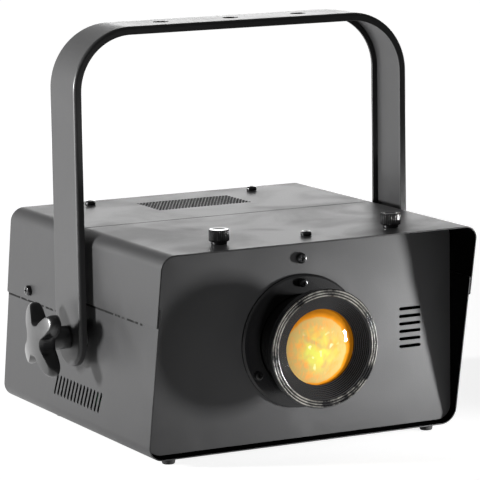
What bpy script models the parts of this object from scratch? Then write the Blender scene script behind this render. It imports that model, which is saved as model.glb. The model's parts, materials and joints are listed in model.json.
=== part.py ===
"""Multi-effect light: a lens-fronted stage projector in a folded sheet case, carried in a yoke.

Metres, +Z up. The modelling frame has y = 0 at the front panel's face, z = 0 under the base
tray and x = 0 on the lens's axis; the front looks along -Y. One empty carries that frame and
stands the light on the ground with the middle of its length at the origin.
"""

from math import atan2, cos, pi, radians, sin

import bmesh
import bpy
from mathutils import Vector

# Clearances.
GAP = 0.0003
RUNNING_GAP = 0.0005

# Case: folded sheet, a parallelogram from the side, with a hood in front and a lip behind.
SHEET = 0.0012
CASE_WIDTH = 0.300
CASE_HEIGHT = 0.1796
TOP_BEND = 0.012
TRAY_BEND = 0.014
HOOD_REACH_TOP = 0.0422
HOOD_REACH_BOTTOM = 0.0051
BACK_REACH_TOP = 0.2690
BACK_REACH_BOTTOM = 0.3028
SEAM_Y = 0.128
SEAM_GAP = 0.0010
FRONT_SKIRT_Z = 0.1175
REAR_SKIRT_Z = 0.1010
TRAY_WALL_Z = 0.1340
BEND_STEPS = 4

# Louvres in the tray's side walls.
SLOT_COUNT = 14
SLOT_PITCH = 0.00702
SLOT_WIDTH = 0.0022
SLOT_BOTTOM_Z = 0.0240
SLOT_RISE = 0.0190
SLOT_LEAN = 0.0098
SLOT_FIRST_Y = 0.0950

# Perforated field in the rear cover's top.
VENT_MIDDLE = (0.0025, 0.2075)
VENT_COLUMNS = 10
VENT_ROWS = 5
VENT_PITCH = 0.0092
VENT_HOLE = 0.0021

# Front panel.
PANEL_BOTTOM_Z = 0.0037
PANEL_FLANGE_REACH = 0.020
PANEL_SLOT_LEFT = 0.096
PANEL_SLOT_LENGTH = 0.021
PANEL_SLOT_HEIGHT = 0.0021
PANEL_SLOT_COUNT = 6
PANEL_SLOT_PITCH = 0.0066
PANEL_SLOT_LOW_Z = 0.0723

# Lens: flange on the panel, sliding barrel with its flared rim, glass and retaining ring.
LENS_DROP = 0.0020
FLANGE_RADIUS = 0.0575
FLANGE_THICKNESS = 0.0030
FLANGE_BEVEL = 0.0010
FLANGE_SLEEVE_LENGTH = 0.012
FLANGE_SLEEVE_WALL = 0.0030
FLANGE_SCREW_CIRCLE = 0.0505
BARREL_RADIUS = 0.0405
BARREL_WALL = 0.0030
BARREL_STEP = 0.0015
BARREL_INSIDE_LENGTH = 0.020
RIM_RADIUS = 0.0510
RIM_FACE = 0.0430
RIM_DEPTH = 0.0070
RIM_MOUTH_RADIUS = 0.0440
RIDGE_COUNT = 3
RIDGE_DEPTH = 0.0010
GLASS_RADIUS = 0.0350
GLASS_VIEW_RADIUS = 0.0325
GLASS_SETBACK = 0.0110
GLASS_EDGE = 0.0060
GLASS_CROWN = 0.0065
GLASS_LIP = 0.0010
GLASS_DOME_ANGLE = radians(60)
GLASS_DOME_STEPS = 4
RETAINER_DEPTH = 0.0035
RETAINER_REACH = 0.0015

# Fasteners: pan-head case screws and knurled hand screws.
SCREW_HEAD_RADIUS = 0.0047
SCREW_HEAD_HEIGHT = 0.0030
SCREW_SHANK_RADIUS = 0.0018
SCREW_REACH = 0.0060
FLANGE_SCREW_HEAD_RADIUS = 0.0038
TOP_SCREW_Y = -0.0105
HAND_SCREW_X = 0.082
HAND_SCREW_RADIUS = 0.0090
HAND_SCREW_HEIGHT = 0.0110
HAND_SCREW_SHANK_RADIUS = 0.0028
HAND_SCREW_COLLAR = 0.0022
HAND_SCREW_COLLAR_RADIUS = 0.0068
HAND_SCREW_TEETH = 16
KNURL_DEPTH = 0.0009
PANEL_SCREW_DROP = 0.0028
REAR_SCREW_X = 0.082
REAR_SCREW_SETBACK = 0.022
SIDE_SCREW_Y = 0.232
SIDE_SCREW_Z = 0.110

# Rubber feet.
FOOT_RADIUS = 0.0062
FOOT_HEIGHT = 0.0050
FOOT_X = 0.125
FOOT_FRONT_Y = 0.005
FOOT_REAR_Y = 0.222

# Yoke: one folded channel with round ends, its pivots and its star knobs.
PIVOT_Y = 0.124
PIVOT_Z = 0.0870
YOKE_SHEET = 0.0025
YOKE_SIDE_GAP = 0.0119
YOKE_WIDTH = 0.0516
YOKE_FLANGE = 0.0070
YOKE_FOLD = 0.0030
YOKE_TOP_Z = 0.3535
YOKE_CORNER = 0.0540
YOKE_CORNER_STEPS = 6
YOKE_HOLE_RADIUS = 0.0068
YOKE_HOLE_SPACING = 0.067
BOLT_RADIUS = 0.0050
BOSS_RADIUS = 0.0135
BOSS_SPIGOT_RADIUS = 0.0085
BOSS_SPIGOT_REACH = 0.0100
KNOB_TIP_RADIUS = 0.0360
KNOB_ARM_WIDTH = 0.0115
KNOB_WAIST_BEND = 0.0090
KNOB_THICKNESS = 0.0130
KNOB_HUB_RADIUS = 0.0100
KNOB_HUB_LENGTH = 0.0170
KNOB_DOME = 0.0030
KNOB_DOME_RADIUS = 0.0102
KNOB_EDGE = 0.0023
KNOB_TURN = 38
KNOB_SIDES = 20
STUD_SINK = 0.0039

# Rear panel and what it carries; u runs across it to the left seen from the front, v up it.
REAR_RECESS = 0.0060
REAR_PANEL_LOW = 0.0060
REAR_FLANGE_REACH = 0.034
FAN_AT = (-0.080, 0.090)
FAN_SIZE = 0.080
FAN_DEPTH = 0.020
FAN_BORE = 0.0375
FAN_CORNER = 0.0040
FAN_SPOKE = 0.0030
FAN_HUB_RADIUS = 0.015
FAN_BLADES = 7
ROTOR_SETBACK = 0.0020
BLADE_TIP_GAP = 0.0015
BLADE_HALF_THICKNESS = 0.0012
BLADE_SWEEP = 0.34
BLADE_TWIST = 0.05
FAN_SLOT_WIDTH = 0.0030
FAN_SLOT_PITCH = 0.0070
INLET_AT = (0.105, 0.034)
INLET_WIDTH = 0.0275
INLET_HEIGHT = 0.0200
INLET_DEPTH = 0.0200
INLET_WALL = 0.0018
INLET_CAVITY_DEPTH = 0.0150
INLET_FLANGE_MARGIN = 0.0045
INLET_CORNER = 0.0037
INLET_BLADE = (0.0020, 0.0040)
INLET_POLES = ((-0.007, -0.002), (0, 0.002), (0.007, -0.002))
SOCKET_CORNER = 0.0030
DATA_AT = ((0.028, 0.036), (0.066, 0.036))
DATA_RADIUS = 0.0095
DATA_DEPTH = 0.0180
DATA_FLANGE = (0.026, 0.031)
DATA_CAVITY_RADIUS = 0.0078
DATA_CAVITY_DEPTH = 0.0120
PIN_RADIUS = 0.0013
PIN_CIRCLE = 0.0042
PIN_RISE = 0.0070
FUSE_AT = (0.105, 0.074)
FUSE_RADIUS = 0.0065
FUSE_BORE = 0.0039
FUSE_CAP_RADIUS = 0.0085
FUSE_CAP_HEIGHT = 0.0080
FUSE_DEPTH = 0.0240
FUSE_STEM_DEPTH = 0.0120
DISPLAY_AT = (0.060, 0.142)
DISPLAY_SIZE = (0.044, 0.018)
DISPLAY_THICKNESS = 0.0020
DISPLAY_PROUD = 0.0002
BUTTON_V = 0.116
BUTTON_PITCH = 0.0150
BUTTON_COUNT = 4
BUTTON_RADIUS = 0.0036
BUTTON_PROUD = 0.0026
BUTTON_DEPTH = 0.0060
EYE_DROP = 0.0232
EYE_RADIUS = 0.0085
EYE_WIRE = 0.0025
EYE_STAND = 0.0051
EYE_ROOT = 0.0068

# Inside: optical plate, wheels and motors, lamp and heatsink, boards.
PLATE_Y = 0.072
PLATE_TOP_Z = 0.150
PLATE_HALF_WIDTH = 0.115
PLATE_FOOT = 0.016
BEAM_RADIUS = 0.0200
WHEEL_SPREAD = 0.046
EFFECT_RADIUS = 0.060
EFFECT_GLASS = 0.0030
EFFECT_Y = 0.056
COLOUR_RADIUS = 0.060
COLOUR_DISC = 0.0020
COLOUR_Y = 0.063
COLOUR_WINDOWS = 6
COLOUR_WINDOW_RADIUS = 0.0135
WHEEL_HUB_RADIUS = 0.0080
WHEEL_HUB_HEIGHT = 0.0015
SHAFT_RADIUS = 0.0025
SHAFT_PROUD = 0.0040
MOTOR_RADIUS = 0.0175
MOTOR_LENGTH = 0.0220
CONDENSER_EDGE = 0.0010
CONDENSER_FRONT = 0.0040
CONDENSER_BACK = 0.0060
LAMP_RADIUS = 0.0200
LAMP_BASE = 0.0020
LAMP_COLLAR_RADIUS = 0.0120
LAMP_COLLAR = 0.0035
LAMP_DOME_RADIUS = 0.0090
LAMP_DOME = 0.0080
SINK_WIDTH = 0.084
SINK_HEIGHT = 0.080
SINK_BASE = 0.006
SINK_DEPTH = 0.034
SINK_FINS = 11
SINK_FIN = 0.0022
SINK_Y = 0.128
BRACKET_SHEET = 0.0020
BRACKET_FOOT = 0.012
BRACKET_LENGTH = 0.026
BRACKET_HALF_WIDTH = 0.0336
BOARD_THICKNESS = 0.0016
BOARD_LIFT = 0.0080
POWER_BOARD = (0.062, 0.096)
CONTROL_BOARD = (0.062, 0.082)
BOARD_X = 0.098
BOARD_Y = 0.175
PILLAR_SIZE = 0.0060
PILLAR_INSET = 0.0050
# Components on each board, as (size, place on the board).
POWER_COMPONENTS = (
    ((0.030, 0.028, 0.026), (0.004, 0.014)),
    ((0.014, 0.014, 0.022), (0.012, -0.030)),
    ((0.018, 0.010, 0.016), (-0.016, -0.026)),
)
CONTROL_COMPONENTS = (
    ((0.020, 0.020, 0.004), (0, 0.008)),
    ((0.012, 0.030, 0.010), (-0.018, -0.014)),
)

# Worked out from the sizes above.
COVER_HALF = CASE_WIDTH / 2
TRAY_HALF = COVER_HALF - SHEET - GAP
TRAY_INNER = TRAY_HALF - SHEET
PANEL_HALF = TRAY_INNER - GAP
COVER_UNDER = CASE_HEIGHT - SHEET
LENGTH_FRONT = -max(HOOD_REACH_TOP, RIM_FACE)
MIDDLE_Y = (LENGTH_FRONT + BACK_REACH_BOTTOM) / 2
YOKE_FACE_X = COVER_HALF + YOKE_SIDE_GAP
YOKE_INNER_X = YOKE_FACE_X - YOKE_SHEET
REAR_SLANT = atan2(BACK_REACH_BOTTOM - BACK_REACH_TOP, CASE_HEIGHT)
REAR_PANEL_HIGH = (COVER_UNDER - GAP) / cos(REAR_SLANT)
EYE_AT = (0, REAR_PANEL_HIGH - EYE_DROP)
# The lens sits just under the middle of the front, and the panel screw between it and the top.
LENS_Z = CASE_HEIGHT / 2 - LENS_DROP
PANEL_SCREW_Z = (LENS_Z + FLANGE_RADIUS + COVER_UNDER - GAP) / 2 - PANEL_SCREW_DROP
LAMP_AXIS_Z = LENS_Z
EFFECT_AXIS = (WHEEL_SPREAD, LENS_Z)
COLOUR_AXIS = (-WHEEL_SPREAD, LENS_Z)
BARREL_BORE = BARREL_RADIUS - BARREL_WALL

# Lengths of cutters: through one sheet, through the yoke's sheet, and across everything.
PUNCH = SHEET * 6
YOKE_PUNCH = YOKE_SHEET * 6
ACROSS = YOKE_FACE_X * 2.4

FACING_FRONT = (pi / 2, 0, 0)
FACING_RIGHT = (pi / 2, 0, pi / 2)
FACING_LEFT = (pi / 2, 0, -pi / 2)
FACING_DOWN = (pi, 0, 0)

# Colour, roughness and metallic value of each finish.
FINISHES = {
    "case_paint": ((0.045, 0.045, 0.047), 0.45, 0.0),
    "yoke_paint": ((0.050, 0.050, 0.052), 0.42, 0.0),
    "black_plastic": ((0.012, 0.012, 0.012), 0.25, 0.0),
    "knob_plastic": ((0.020, 0.020, 0.021), 0.35, 0.0),
    "black_steel": ((0.020, 0.020, 0.020), 0.30, 0.8),
    "steel": ((0.55, 0.55, 0.56), 0.30, 1.0),
    "zinc_plate": ((0.50, 0.50, 0.48), 0.40, 1.0),
    "aluminium": ((0.60, 0.61, 0.62), 0.35, 1.0),
    "glass": ((0.95, 0.60, 0.15), 0.05, 0.0),
    "ripple_glass": ((0.85, 0.90, 0.92), 0.10, 0.0),
    "foot_rubber": ((0.015, 0.015, 0.015), 0.80, 0.0),
    "circuit_board": ((0.02, 0.12, 0.05), 0.50, 0.0),
    "lamp_white": ((0.85, 0.84, 0.78), 0.40, 0.0),
    "display_black": ((0.010, 0.010, 0.012), 0.10, 0.0),
    "colour_disc": ((0.75, 0.45, 0.10), 0.30, 0.2),
}


def clear_scene():
    for obj in list(bpy.data.objects):
        bpy.data.objects.remove(obj, do_unlink=True)


def new_collection(name):
    collection = bpy.data.collections.new(name)
    bpy.context.scene.collection.children.link(collection)
    return collection


clear_scene()
PARTS = new_collection("multi_effect_light")
CUTTERS = new_collection("cutters")
CUTTERS.hide_render = True


def finish(name):
    """The Principled material of one finish, made on its first use."""
    material = bpy.data.materials.get(name)
    if material is None:
        colour, roughness, metallic = FINISHES[name]
        material = bpy.data.materials.new(name)
        material.use_nodes = True
        shader = material.node_tree.nodes["Principled BSDF"]
        shader.inputs["Base Color"].default_value = (*colour, 1)
        shader.inputs["Roughness"].default_value = roughness
        shader.inputs["Metallic"].default_value = metallic
    return material


def empty(name, location, rotation=(0, 0, 0), parent=None):
    obj = bpy.data.objects.new(name, None)
    PARTS.objects.link(obj)
    obj.parent = parent
    obj.location = location
    obj.rotation_euler = rotation
    return obj


def add(name, mesh, material, parent, location=(0, 0, 0), rotation=(0, 0, 0)):
    """Puts a mesh in the scene as a part, or as a cutter where no material is given."""
    obj = bpy.data.objects.new(name, mesh)
    obj.parent = parent
    obj.location = location
    obj.rotation_euler = rotation
    if material is None:
        CUTTERS.objects.link(obj)
        obj.hide_render = True
        obj.display_type = "WIRE"
    else:
        PARTS.objects.link(obj)
        mesh.materials.append(finish(material))
    bpy.context.view_layer.update()
    return obj


def smooth(mesh, angle=40):
    mesh.shade_smooth()
    mesh.set_sharp_from_angle(angle=radians(angle))


def mesh_of(bm, name):
    mesh = bpy.data.meshes.new(name)
    bmesh.ops.recalc_face_normals(bm, faces=bm.faces)
    bm.to_mesh(mesh)
    bm.free()
    return mesh


def box_mesh(name, boxes):
    """One mesh of separate boxes, each (size, centre)."""
    bm = bmesh.new()
    for size, centre in boxes:
        made = bmesh.ops.create_cube(bm, size=1)
        bmesh.ops.scale(bm, vec=size, verts=made["verts"])
        bmesh.ops.translate(bm, vec=centre, verts=made["verts"])
    return mesh_of(bm, name)


def rod_mesh(name, rods, sides=16):
    """One mesh of separate round rods along Z, each (radius, length, centre)."""
    bm = bmesh.new()
    for radius, length, centre in rods:
        made = bmesh.ops.create_cone(
            bm, cap_ends=True, segments=sides, radius1=radius, radius2=radius, depth=length
        )
        bmesh.ops.translate(bm, vec=centre, verts=made["verts"])
    return mesh_of(bm, name)


def turned_mesh(name, profile, sides=32):
    """A profile of (radius, z) points, down its outer side, turned about Z by a Screw modifier.

    A profile that neither starts nor ends on the axis is closed on itself, as a ring's is.
    """
    on_axis = profile[0][0] == 0
    mesh = bpy.data.meshes.new(name)
    edges = [(i, i + 1) for i in range(len(profile) - 1)]
    if not on_axis:
        edges.append((len(profile) - 1, 0))
    mesh.from_pydata([(r, 0, z) for r, z in profile], edges, [])
    guide = bpy.data.objects.new(name + "_profile", mesh)
    CUTTERS.objects.link(guide)
    screw = guide.modifiers.new("turn", "SCREW")
    screw.steps = sides
    screw.render_steps = sides
    screw.use_merge_vertices = True
    screw.merge_threshold = 1e-6
    screw.use_normal_calculate = on_axis
    bpy.context.view_layer.update()
    turned = bpy.data.meshes.new_from_object(guide.evaluated_get(bpy.context.evaluated_depsgraph_get()))
    bpy.data.objects.remove(guide)
    bm = bmesh.new()
    bm.from_mesh(turned)
    bmesh.ops.remove_doubles(bm, verts=bm.verts, dist=1e-6)
    turned = mesh_of(bm, name)
    smooth(turned)
    return turned


def plate_mesh(name, outline, holes=(), thickness=SHEET, top=0.0):
    """A flat outline with holes, filled as a 2D curve, from `top` down through `thickness`."""
    curve = bpy.data.curves.new(name, "CURVE")
    curve.dimensions = "2D"
    curve.fill_mode = "BOTH"
    curve.extrude = thickness / 2
    for loop in (outline, *holes):
        spline = curve.splines.new("POLY")
        spline.points.add(len(loop) - 1)
        for point, (x, y) in zip(spline.points, loop):
            point.co = (x, y, 0, 1)
        spline.use_cyclic_u = True
    guide = bpy.data.objects.new(name + "_outline", curve)
    CUTTERS.objects.link(guide)
    bpy.context.view_layer.update()
    filled = bpy.data.meshes.new_from_object(guide.evaluated_get(bpy.context.evaluated_depsgraph_get()))
    bpy.data.objects.remove(guide)
    bm = bmesh.new()
    bm.from_mesh(filled)
    bmesh.ops.remove_doubles(bm, verts=bm.verts, dist=1e-6)
    bmesh.ops.translate(bm, vec=(0, 0, top - thickness / 2), verts=bm.verts)
    return mesh_of(bm, name)


def strip_mesh(name, path, edges, thickness):
    """Folded sheet: a path of (a, z) points run between two edges and thickened inwards.

    `edges(point)` gives the two points in space where the sheet starts and ends there.
    """
    bm = bmesh.new()
    rows = [[bm.verts.new(corner) for corner in edges(point)] for point in path]
    for (a, b), (c, d) in zip(rows, rows[1:]):
        bm.faces.new((a, b, d, c))
    mesh = bpy.data.meshes.new(name)
    bm.to_mesh(mesh)
    bm.free()
    return thicken(name, mesh, thickness)


def thicken(name, mesh, thickness):
    """The mesh with a Solidify modifier applied, on the side away from its normals."""
    guide = bpy.data.objects.new(name + "_sheet", mesh)
    CUTTERS.objects.link(guide)
    solidify = guide.modifiers.new("sheet", "SOLIDIFY")
    solidify.thickness = thickness
    solidify.offset = -1
    solidify.use_even_offset = True
    bpy.context.view_layer.update()
    solid = bpy.data.meshes.new_from_object(guide.evaluated_get(bpy.context.evaluated_depsgraph_get()))
    bpy.data.objects.remove(guide)
    smooth(solid, 35)
    return solid


def arc(centre, radius, start, end, steps):
    """Points on a round stretch, angles in degrees, both ends kept."""
    turn = [radians(start + (end - start) * i / steps) for i in range(steps + 1)]
    return [(centre[0] + radius * cos(a), centre[1] + radius * sin(a)) for a in turn]


def circle(centre, radius, sides=12, start=0):
    return arc(centre, radius, start, start + 360, sides)[:-1]


def rounded(left, right, low, high, low_bend, high_bend, steps=BEND_STEPS):
    """A rectangle's outline with its lower and upper corners rounded."""
    return (
        arc((right - low_bend, low + low_bend), low_bend, -90, 0, steps)
        + arc((right - high_bend, high - high_bend), high_bend, 0, 90, steps)
        + arc((left + high_bend, high - high_bend), high_bend, 90, 180, steps)
        + arc((left + low_bend, low + low_bend), low_bend, 180, 270, steps)
    )


def box_outline(centre, size):
    x, y = size[0] / 2, size[1] / 2
    corners = ((-x, -y), (x, -y), (x, y), (-x, y))
    return [(centre[0] + a, centre[1] + b) for a, b in corners]


def slot_outline(centre, length, width):
    """A slot along X with round ends."""
    reach = length / 2 - width / 2
    right = arc((centre[0] + reach, centre[1]), width / 2, -90, 90, 2)
    left = arc((centre[0] - reach, centre[1]), width / 2, 90, 270, 2)
    return right + left


def combine(obj, other, operation="DIFFERENCE"):
    """Cuts the other object from this one or joins it on, and keeps the result as its mesh."""
    modifier = obj.modifiers.new(operation.lower(), "BOOLEAN")
    modifier.operation = operation
    modifier.object = other
    bpy.context.view_layer.update()
    graph = bpy.context.evaluated_depsgraph_get()
    result = bpy.data.meshes.new_from_object(obj.evaluated_get(graph))
    obj.modifiers.remove(modifier)
    obj.data = result
    bpy.data.objects.remove(other)
    smooth(result, 35)


def cut_rods(obj, parent, rods, sides=12, location=(0, 0, 0), rotation=(0, 0, 0)):
    cutter = add("rods", rod_mesh("rods", rods, sides), None, parent, location, rotation)
    combine(obj, cutter)


def front_edge(z):
    return -(HOOD_REACH_BOTTOM + (HOOD_REACH_TOP - HOOD_REACH_BOTTOM) * z / CASE_HEIGHT)


def back_edge(z):
    return BACK_REACH_BOTTOM + (BACK_REACH_TOP - BACK_REACH_BOTTOM) * z / CASE_HEIGHT


LIGHT = empty("light_frame", (0, -MIDDLE_Y, FOOT_HEIGHT))
FRONT = empty("front_frame", (0, 0, 0), FACING_FRONT, LIGHT)
REAR = empty("rear_frame", (0, back_edge(0) - REAR_RECESS, 0), (pi / 2 - REAR_SLANT, 0, pi), LIGHT)


def cover_path(skirt_z):
    """The covers' outer face from the right skirt's foot over the top to the left one's."""
    side = COVER_HALF - TOP_BEND
    top = CASE_HEIGHT - TOP_BEND
    return (
        [(COVER_HALF, skirt_z)]
        + arc((side, top), TOP_BEND, 0, 90, BEND_STEPS)
        + arc((-side, top), TOP_BEND, 90, 180, BEND_STEPS)
        + [(-COVER_HALF, skirt_z)]
    )


def tray_path():
    """The tray's outer face from the left wall's top under the floor to the right wall's."""
    side = TRAY_HALF - TRAY_BEND
    return (
        [(-TRAY_HALF, TRAY_WALL_Z)]
        + arc((-side, TRAY_BEND), TRAY_BEND, 180, 270, BEND_STEPS)
        + arc((side, TRAY_BEND), TRAY_BEND, 270, 360, BEND_STEPS)
        + [(TRAY_HALF, TRAY_WALL_Z)]
    )


def side_slots():
    """One cutter of all the louvres, each run through both walls, leaning forward as it rises."""
    bm = bmesh.new()
    half = SLOT_WIDTH / 2
    for i in range(SLOT_COUNT):
        foot = Vector((0, SLOT_FIRST_Y + SLOT_PITCH * i, SLOT_BOTTOM_Z))
        rise = Vector((0, -SLOT_LEAN, SLOT_RISE))
        up = rise.normalized()
        across = Vector((0, up.z, -up.y))
        ring = []
        for centre, start in ((foot + rise - up * half, 0), (foot + up * half, 180)):
            for step in range(3):
                turn = radians(start + 90 * step)
                ring.append(centre + across * (half * cos(turn)) + up * (half * sin(turn)))
        reach = Vector((ACROSS / 2, 0, 0))
        ends = [[bm.verts.new(point + side) for point in ring] for side in (-reach, reach)]
        bm.faces.new(ends[0])
        bm.faces.new(ends[1])
        for j in range(len(ring)):
            k = (j + 1) % len(ring)
            bm.faces.new((ends[0][j], ends[0][k], ends[1][k], ends[1][j]))
    return add("slots", mesh_of(bm, "slots"), None, LIGHT)


def base_tray():
    def edges(point):
        x, z = point
        return (x, front_edge(z), z), (x, back_edge(z), z)

    tray = add("base_tray", strip_mesh("base_tray", tray_path(), edges, SHEET), "case_paint", LIGHT)
    combine(tray, side_slots())
    pivots = [(BOSS_SPIGOT_RADIUS + GAP, ACROSS, (0, 0, 0))]
    cut_rods(tray, LIGHT, pivots, 18, (0, PIVOT_Y, PIVOT_Z), FACING_RIGHT)
    screws = [(SCREW_SHANK_RADIUS + GAP, ACROSS, (0, 0, 0))]
    cut_rods(tray, LIGHT, screws, 10, (0, SIDE_SCREW_Y, SIDE_SCREW_Z), FACING_RIGHT)


def front_hood_cover():
    def edges(point):
        x, z = point
        return (x, SEAM_Y - SEAM_GAP / 2, z), (x, front_edge(z), z)

    mesh = strip_mesh("front_hood_cover", cover_path(FRONT_SKIRT_Z)[::-1], edges, SHEET)
    cover = add("front_hood_cover", mesh, "case_paint", LIGHT)
    hand = HAND_SCREW_SHANK_RADIUS + GAP
    rods = [(hand, PUNCH, (side * HAND_SCREW_X, 0, 0)) for side in (-1, 1)]
    rods.append((SCREW_SHANK_RADIUS + GAP, PUNCH, (0, 0, 0)))
    cut_rods(cover, LIGHT, rods, 12, (0, TOP_SCREW_Y, CASE_HEIGHT))


def vent_holes():
    """Centres of the staggered perforation, seen from above."""
    found = []
    for row in range(VENT_ROWS):
        shift = VENT_PITCH / 2 * (row % 2)
        y = VENT_MIDDLE[1] + (row - (VENT_ROWS - 1) / 2) * VENT_PITCH
        for column in range(VENT_COLUMNS - row % 2):
            x = VENT_MIDDLE[0] + (column - (VENT_COLUMNS - 1) / 2) * VENT_PITCH + shift
            found.append((x, y))
    return found


def rear_screw_y():
    return back_edge(CASE_HEIGHT) - REAR_SCREW_SETBACK


def rear_top_cover():
    def edges(point):
        x, z = point
        return (x, back_edge(z), z), (x, SEAM_Y + SEAM_GAP / 2, z)

    mesh = strip_mesh("rear_top_cover", cover_path(REAR_SKIRT_Z)[::-1], edges, SHEET)
    cover = add("rear_top_cover", mesh, "case_paint", LIGHT)
    rods = [(VENT_HOLE, PUNCH, (x, y, 0)) for x, y in vent_holes()]
    cut_rods(cover, LIGHT, rods, 6, (0, 0, CASE_HEIGHT))
    hole = SCREW_SHANK_RADIUS + GAP
    rods = [(hole, PUNCH, (side * REAR_SCREW_X, rear_screw_y(), 0)) for side in (-1, 1)]
    cut_rods(cover, LIGHT, rods, 12, (0, 0, CASE_HEIGHT))
    cut_rods(cover, LIGHT, [(hole, ACROSS, (0, 0, 0))], 12,
             (0, SIDE_SCREW_Y, SIDE_SCREW_Z), FACING_RIGHT)


def flange_screw_places():
    turns = [radians(a) for a in (90, 210, 330)]
    return [(FLANGE_SCREW_CIRCLE * cos(a), LENS_Z + FLANGE_SCREW_CIRCLE * sin(a)) for a in turns]


def sleeve_radius():
    """Outside of the flange's sleeve, which goes through the panel and guides the barrel."""
    return BARREL_RADIUS + RUNNING_GAP + FLANGE_SLEEVE_WALL


def front_panel():
    """The front's face with its lens hole and vents, and the flange folded forward under the hood."""
    high = COVER_UNDER - GAP
    corner = TRAY_BEND - SHEET
    outline = rounded(-PANEL_HALF, PANEL_HALF, PANEL_BOTTOM_Z, high, corner, TOP_BEND)
    holes = [circle((0, LENS_Z), sleeve_radius() + GAP, 32)]
    small = SCREW_SHANK_RADIUS + GAP
    for i in range(PANEL_SLOT_COUNT):
        middle = (PANEL_SLOT_LEFT + PANEL_SLOT_LENGTH / 2, PANEL_SLOT_LOW_Z + PANEL_SLOT_PITCH * i)
        holes.append(slot_outline(middle, PANEL_SLOT_LENGTH, PANEL_SLOT_HEIGHT))
    for place in flange_screw_places() + [(0, PANEL_SCREW_Z)]:
        holes.append(circle(place, small, 8))
    mesh = plate_mesh("front_panel", outline, holes)
    panel = add("front_panel", mesh, "case_paint", FRONT)
    half = PANEL_HALF - TOP_BEND - SHEET
    reach = PANEL_FLANGE_REACH + SHEET / 2
    place = (0, high - GAP - SHEET / 2, reach / 2 - SHEET / 2)
    lip = box_mesh("lip", [((2 * half, SHEET, reach), place)])
    combine(panel, add("lip", lip, None, FRONT), "UNION")
    hand = HAND_SCREW_SHANK_RADIUS + GAP
    rods = [(hand, PUNCH, (side * HAND_SCREW_X, 0, 0)) for side in (-1, 1)]
    rods.append((small, PUNCH, (0, 0, 0)))
    cut_rods(panel, LIGHT, rods, 12, (0, TOP_SCREW_Y, high))


def lens_flange():
    outer = sleeve_radius()
    bore = BARREL_RADIUS + RUNNING_GAP
    profile = [
        (bore, FLANGE_THICKNESS),
        (FLANGE_RADIUS - 2 * FLANGE_BEVEL, FLANGE_THICKNESS),
        (FLANGE_RADIUS, FLANGE_THICKNESS - FLANGE_BEVEL),
        (FLANGE_RADIUS, GAP),
        (outer, GAP),
        (outer, -FLANGE_SLEEVE_LENGTH),
        (bore, -FLANGE_SLEEVE_LENGTH),
    ]
    mesh = turned_mesh("lens_flange", profile, 32)
    flange = add("lens_flange", mesh, "black_plastic", FRONT, (0, LENS_Z, 0))
    hole = SCREW_SHANK_RADIUS + GAP
    rods = [(hole, FLANGE_THICKNESS * 4, (x, y, 0)) for x, y in flange_screw_places()]
    cut_rods(flange, FRONT, rods, 10)


def barrel_profile():
    """The sliding barrel: ridged rim, waist, tube, and the cone that runs down to the glass."""
    face = RIM_FACE
    ridge = (RIM_RADIUS - RIM_MOUTH_RADIUS) / (RIDGE_COUNT + 0.5)
    profile = [(RIM_MOUTH_RADIUS, face - RIDGE_DEPTH)]
    for i in range(RIDGE_COUNT):
        crest = RIM_MOUTH_RADIUS + ridge * (i + 0.5)
        profile.append((crest, face))
        profile.append((crest + ridge * 0.5, face - RIDGE_DEPTH))
    seat = face - GLASS_SETBACK
    back = seat - GLASS_EDGE - GAP - RETAINER_DEPTH - GAP
    profile += [
        (RIM_RADIUS, face - RIDGE_DEPTH),
        (RIM_RADIUS, face - RIM_DEPTH),
        (BARREL_RADIUS, face - RIM_DEPTH - (RIM_RADIUS - BARREL_RADIUS) / 3),
        (BARREL_RADIUS, -BARREL_INSIDE_LENGTH),
        (BARREL_BORE - BARREL_STEP, -BARREL_INSIDE_LENGTH),
        (BARREL_BORE - BARREL_STEP, back),
        (GLASS_RADIUS + GAP, back),
        (GLASS_RADIUS + GAP, seat),
        (GLASS_VIEW_RADIUS, seat),
        (GLASS_VIEW_RADIUS, seat + GLASS_LIP),
    ]
    return profile


def focus_barrel():
    """The barrel with its glass, and the ring that holds the glass from behind."""
    mesh = turned_mesh("focus_barrel", barrel_profile(), 32)
    add("focus_barrel", mesh, "black_plastic", FRONT, (0, LENS_Z, 0))
    seat = RIM_FACE - GLASS_SETBACK - GAP
    low = cos(GLASS_DOME_ANGLE)
    profile = []
    for i in range(GLASS_DOME_STEPS + 1):
        turn = GLASS_DOME_ANGLE * i / GLASS_DOME_STEPS
        radius = (GLASS_VIEW_RADIUS - GAP) * sin(turn) / sin(GLASS_DOME_ANGLE)
        profile.append((radius, seat + GLASS_CROWN * (cos(turn) - low) / (1 - low)))
    profile += [(GLASS_RADIUS, seat), (GLASS_RADIUS, seat - GLASS_EDGE), (0, seat - GLASS_EDGE)]
    add("front_lens", turned_mesh("front_lens", profile, 28), "glass", FRONT, (0, LENS_Z, 0))
    top = seat - GLASS_EDGE - GAP
    ring = [
        (GLASS_VIEW_RADIUS - RETAINER_REACH, top),
        (GLASS_RADIUS, top),
        (GLASS_RADIUS, top - RETAINER_DEPTH),
        (GLASS_VIEW_RADIUS - RETAINER_REACH, top - RETAINER_DEPTH),
    ]
    add("lens_retainer", turned_mesh("lens_retainer", ring, 28), "black_steel", FRONT, (0, LENS_Z, 0))


def screw_mesh(name, head=SCREW_HEAD_RADIUS, reach=SCREW_REACH):
    """A pan-head screw, its head standing on z = GAP and its shank below."""
    height = SCREW_HEAD_HEIGHT
    profile = [
        (0, GAP + height),
        (head * 0.55, GAP + height * 0.92),
        (head * 0.9, GAP + height * 0.55),
        (head, GAP),
        (SCREW_SHANK_RADIUS, GAP),
        (SCREW_SHANK_RADIUS, -reach),
        (0, -reach),
    ]
    return turned_mesh(name, profile, 10)


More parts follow.
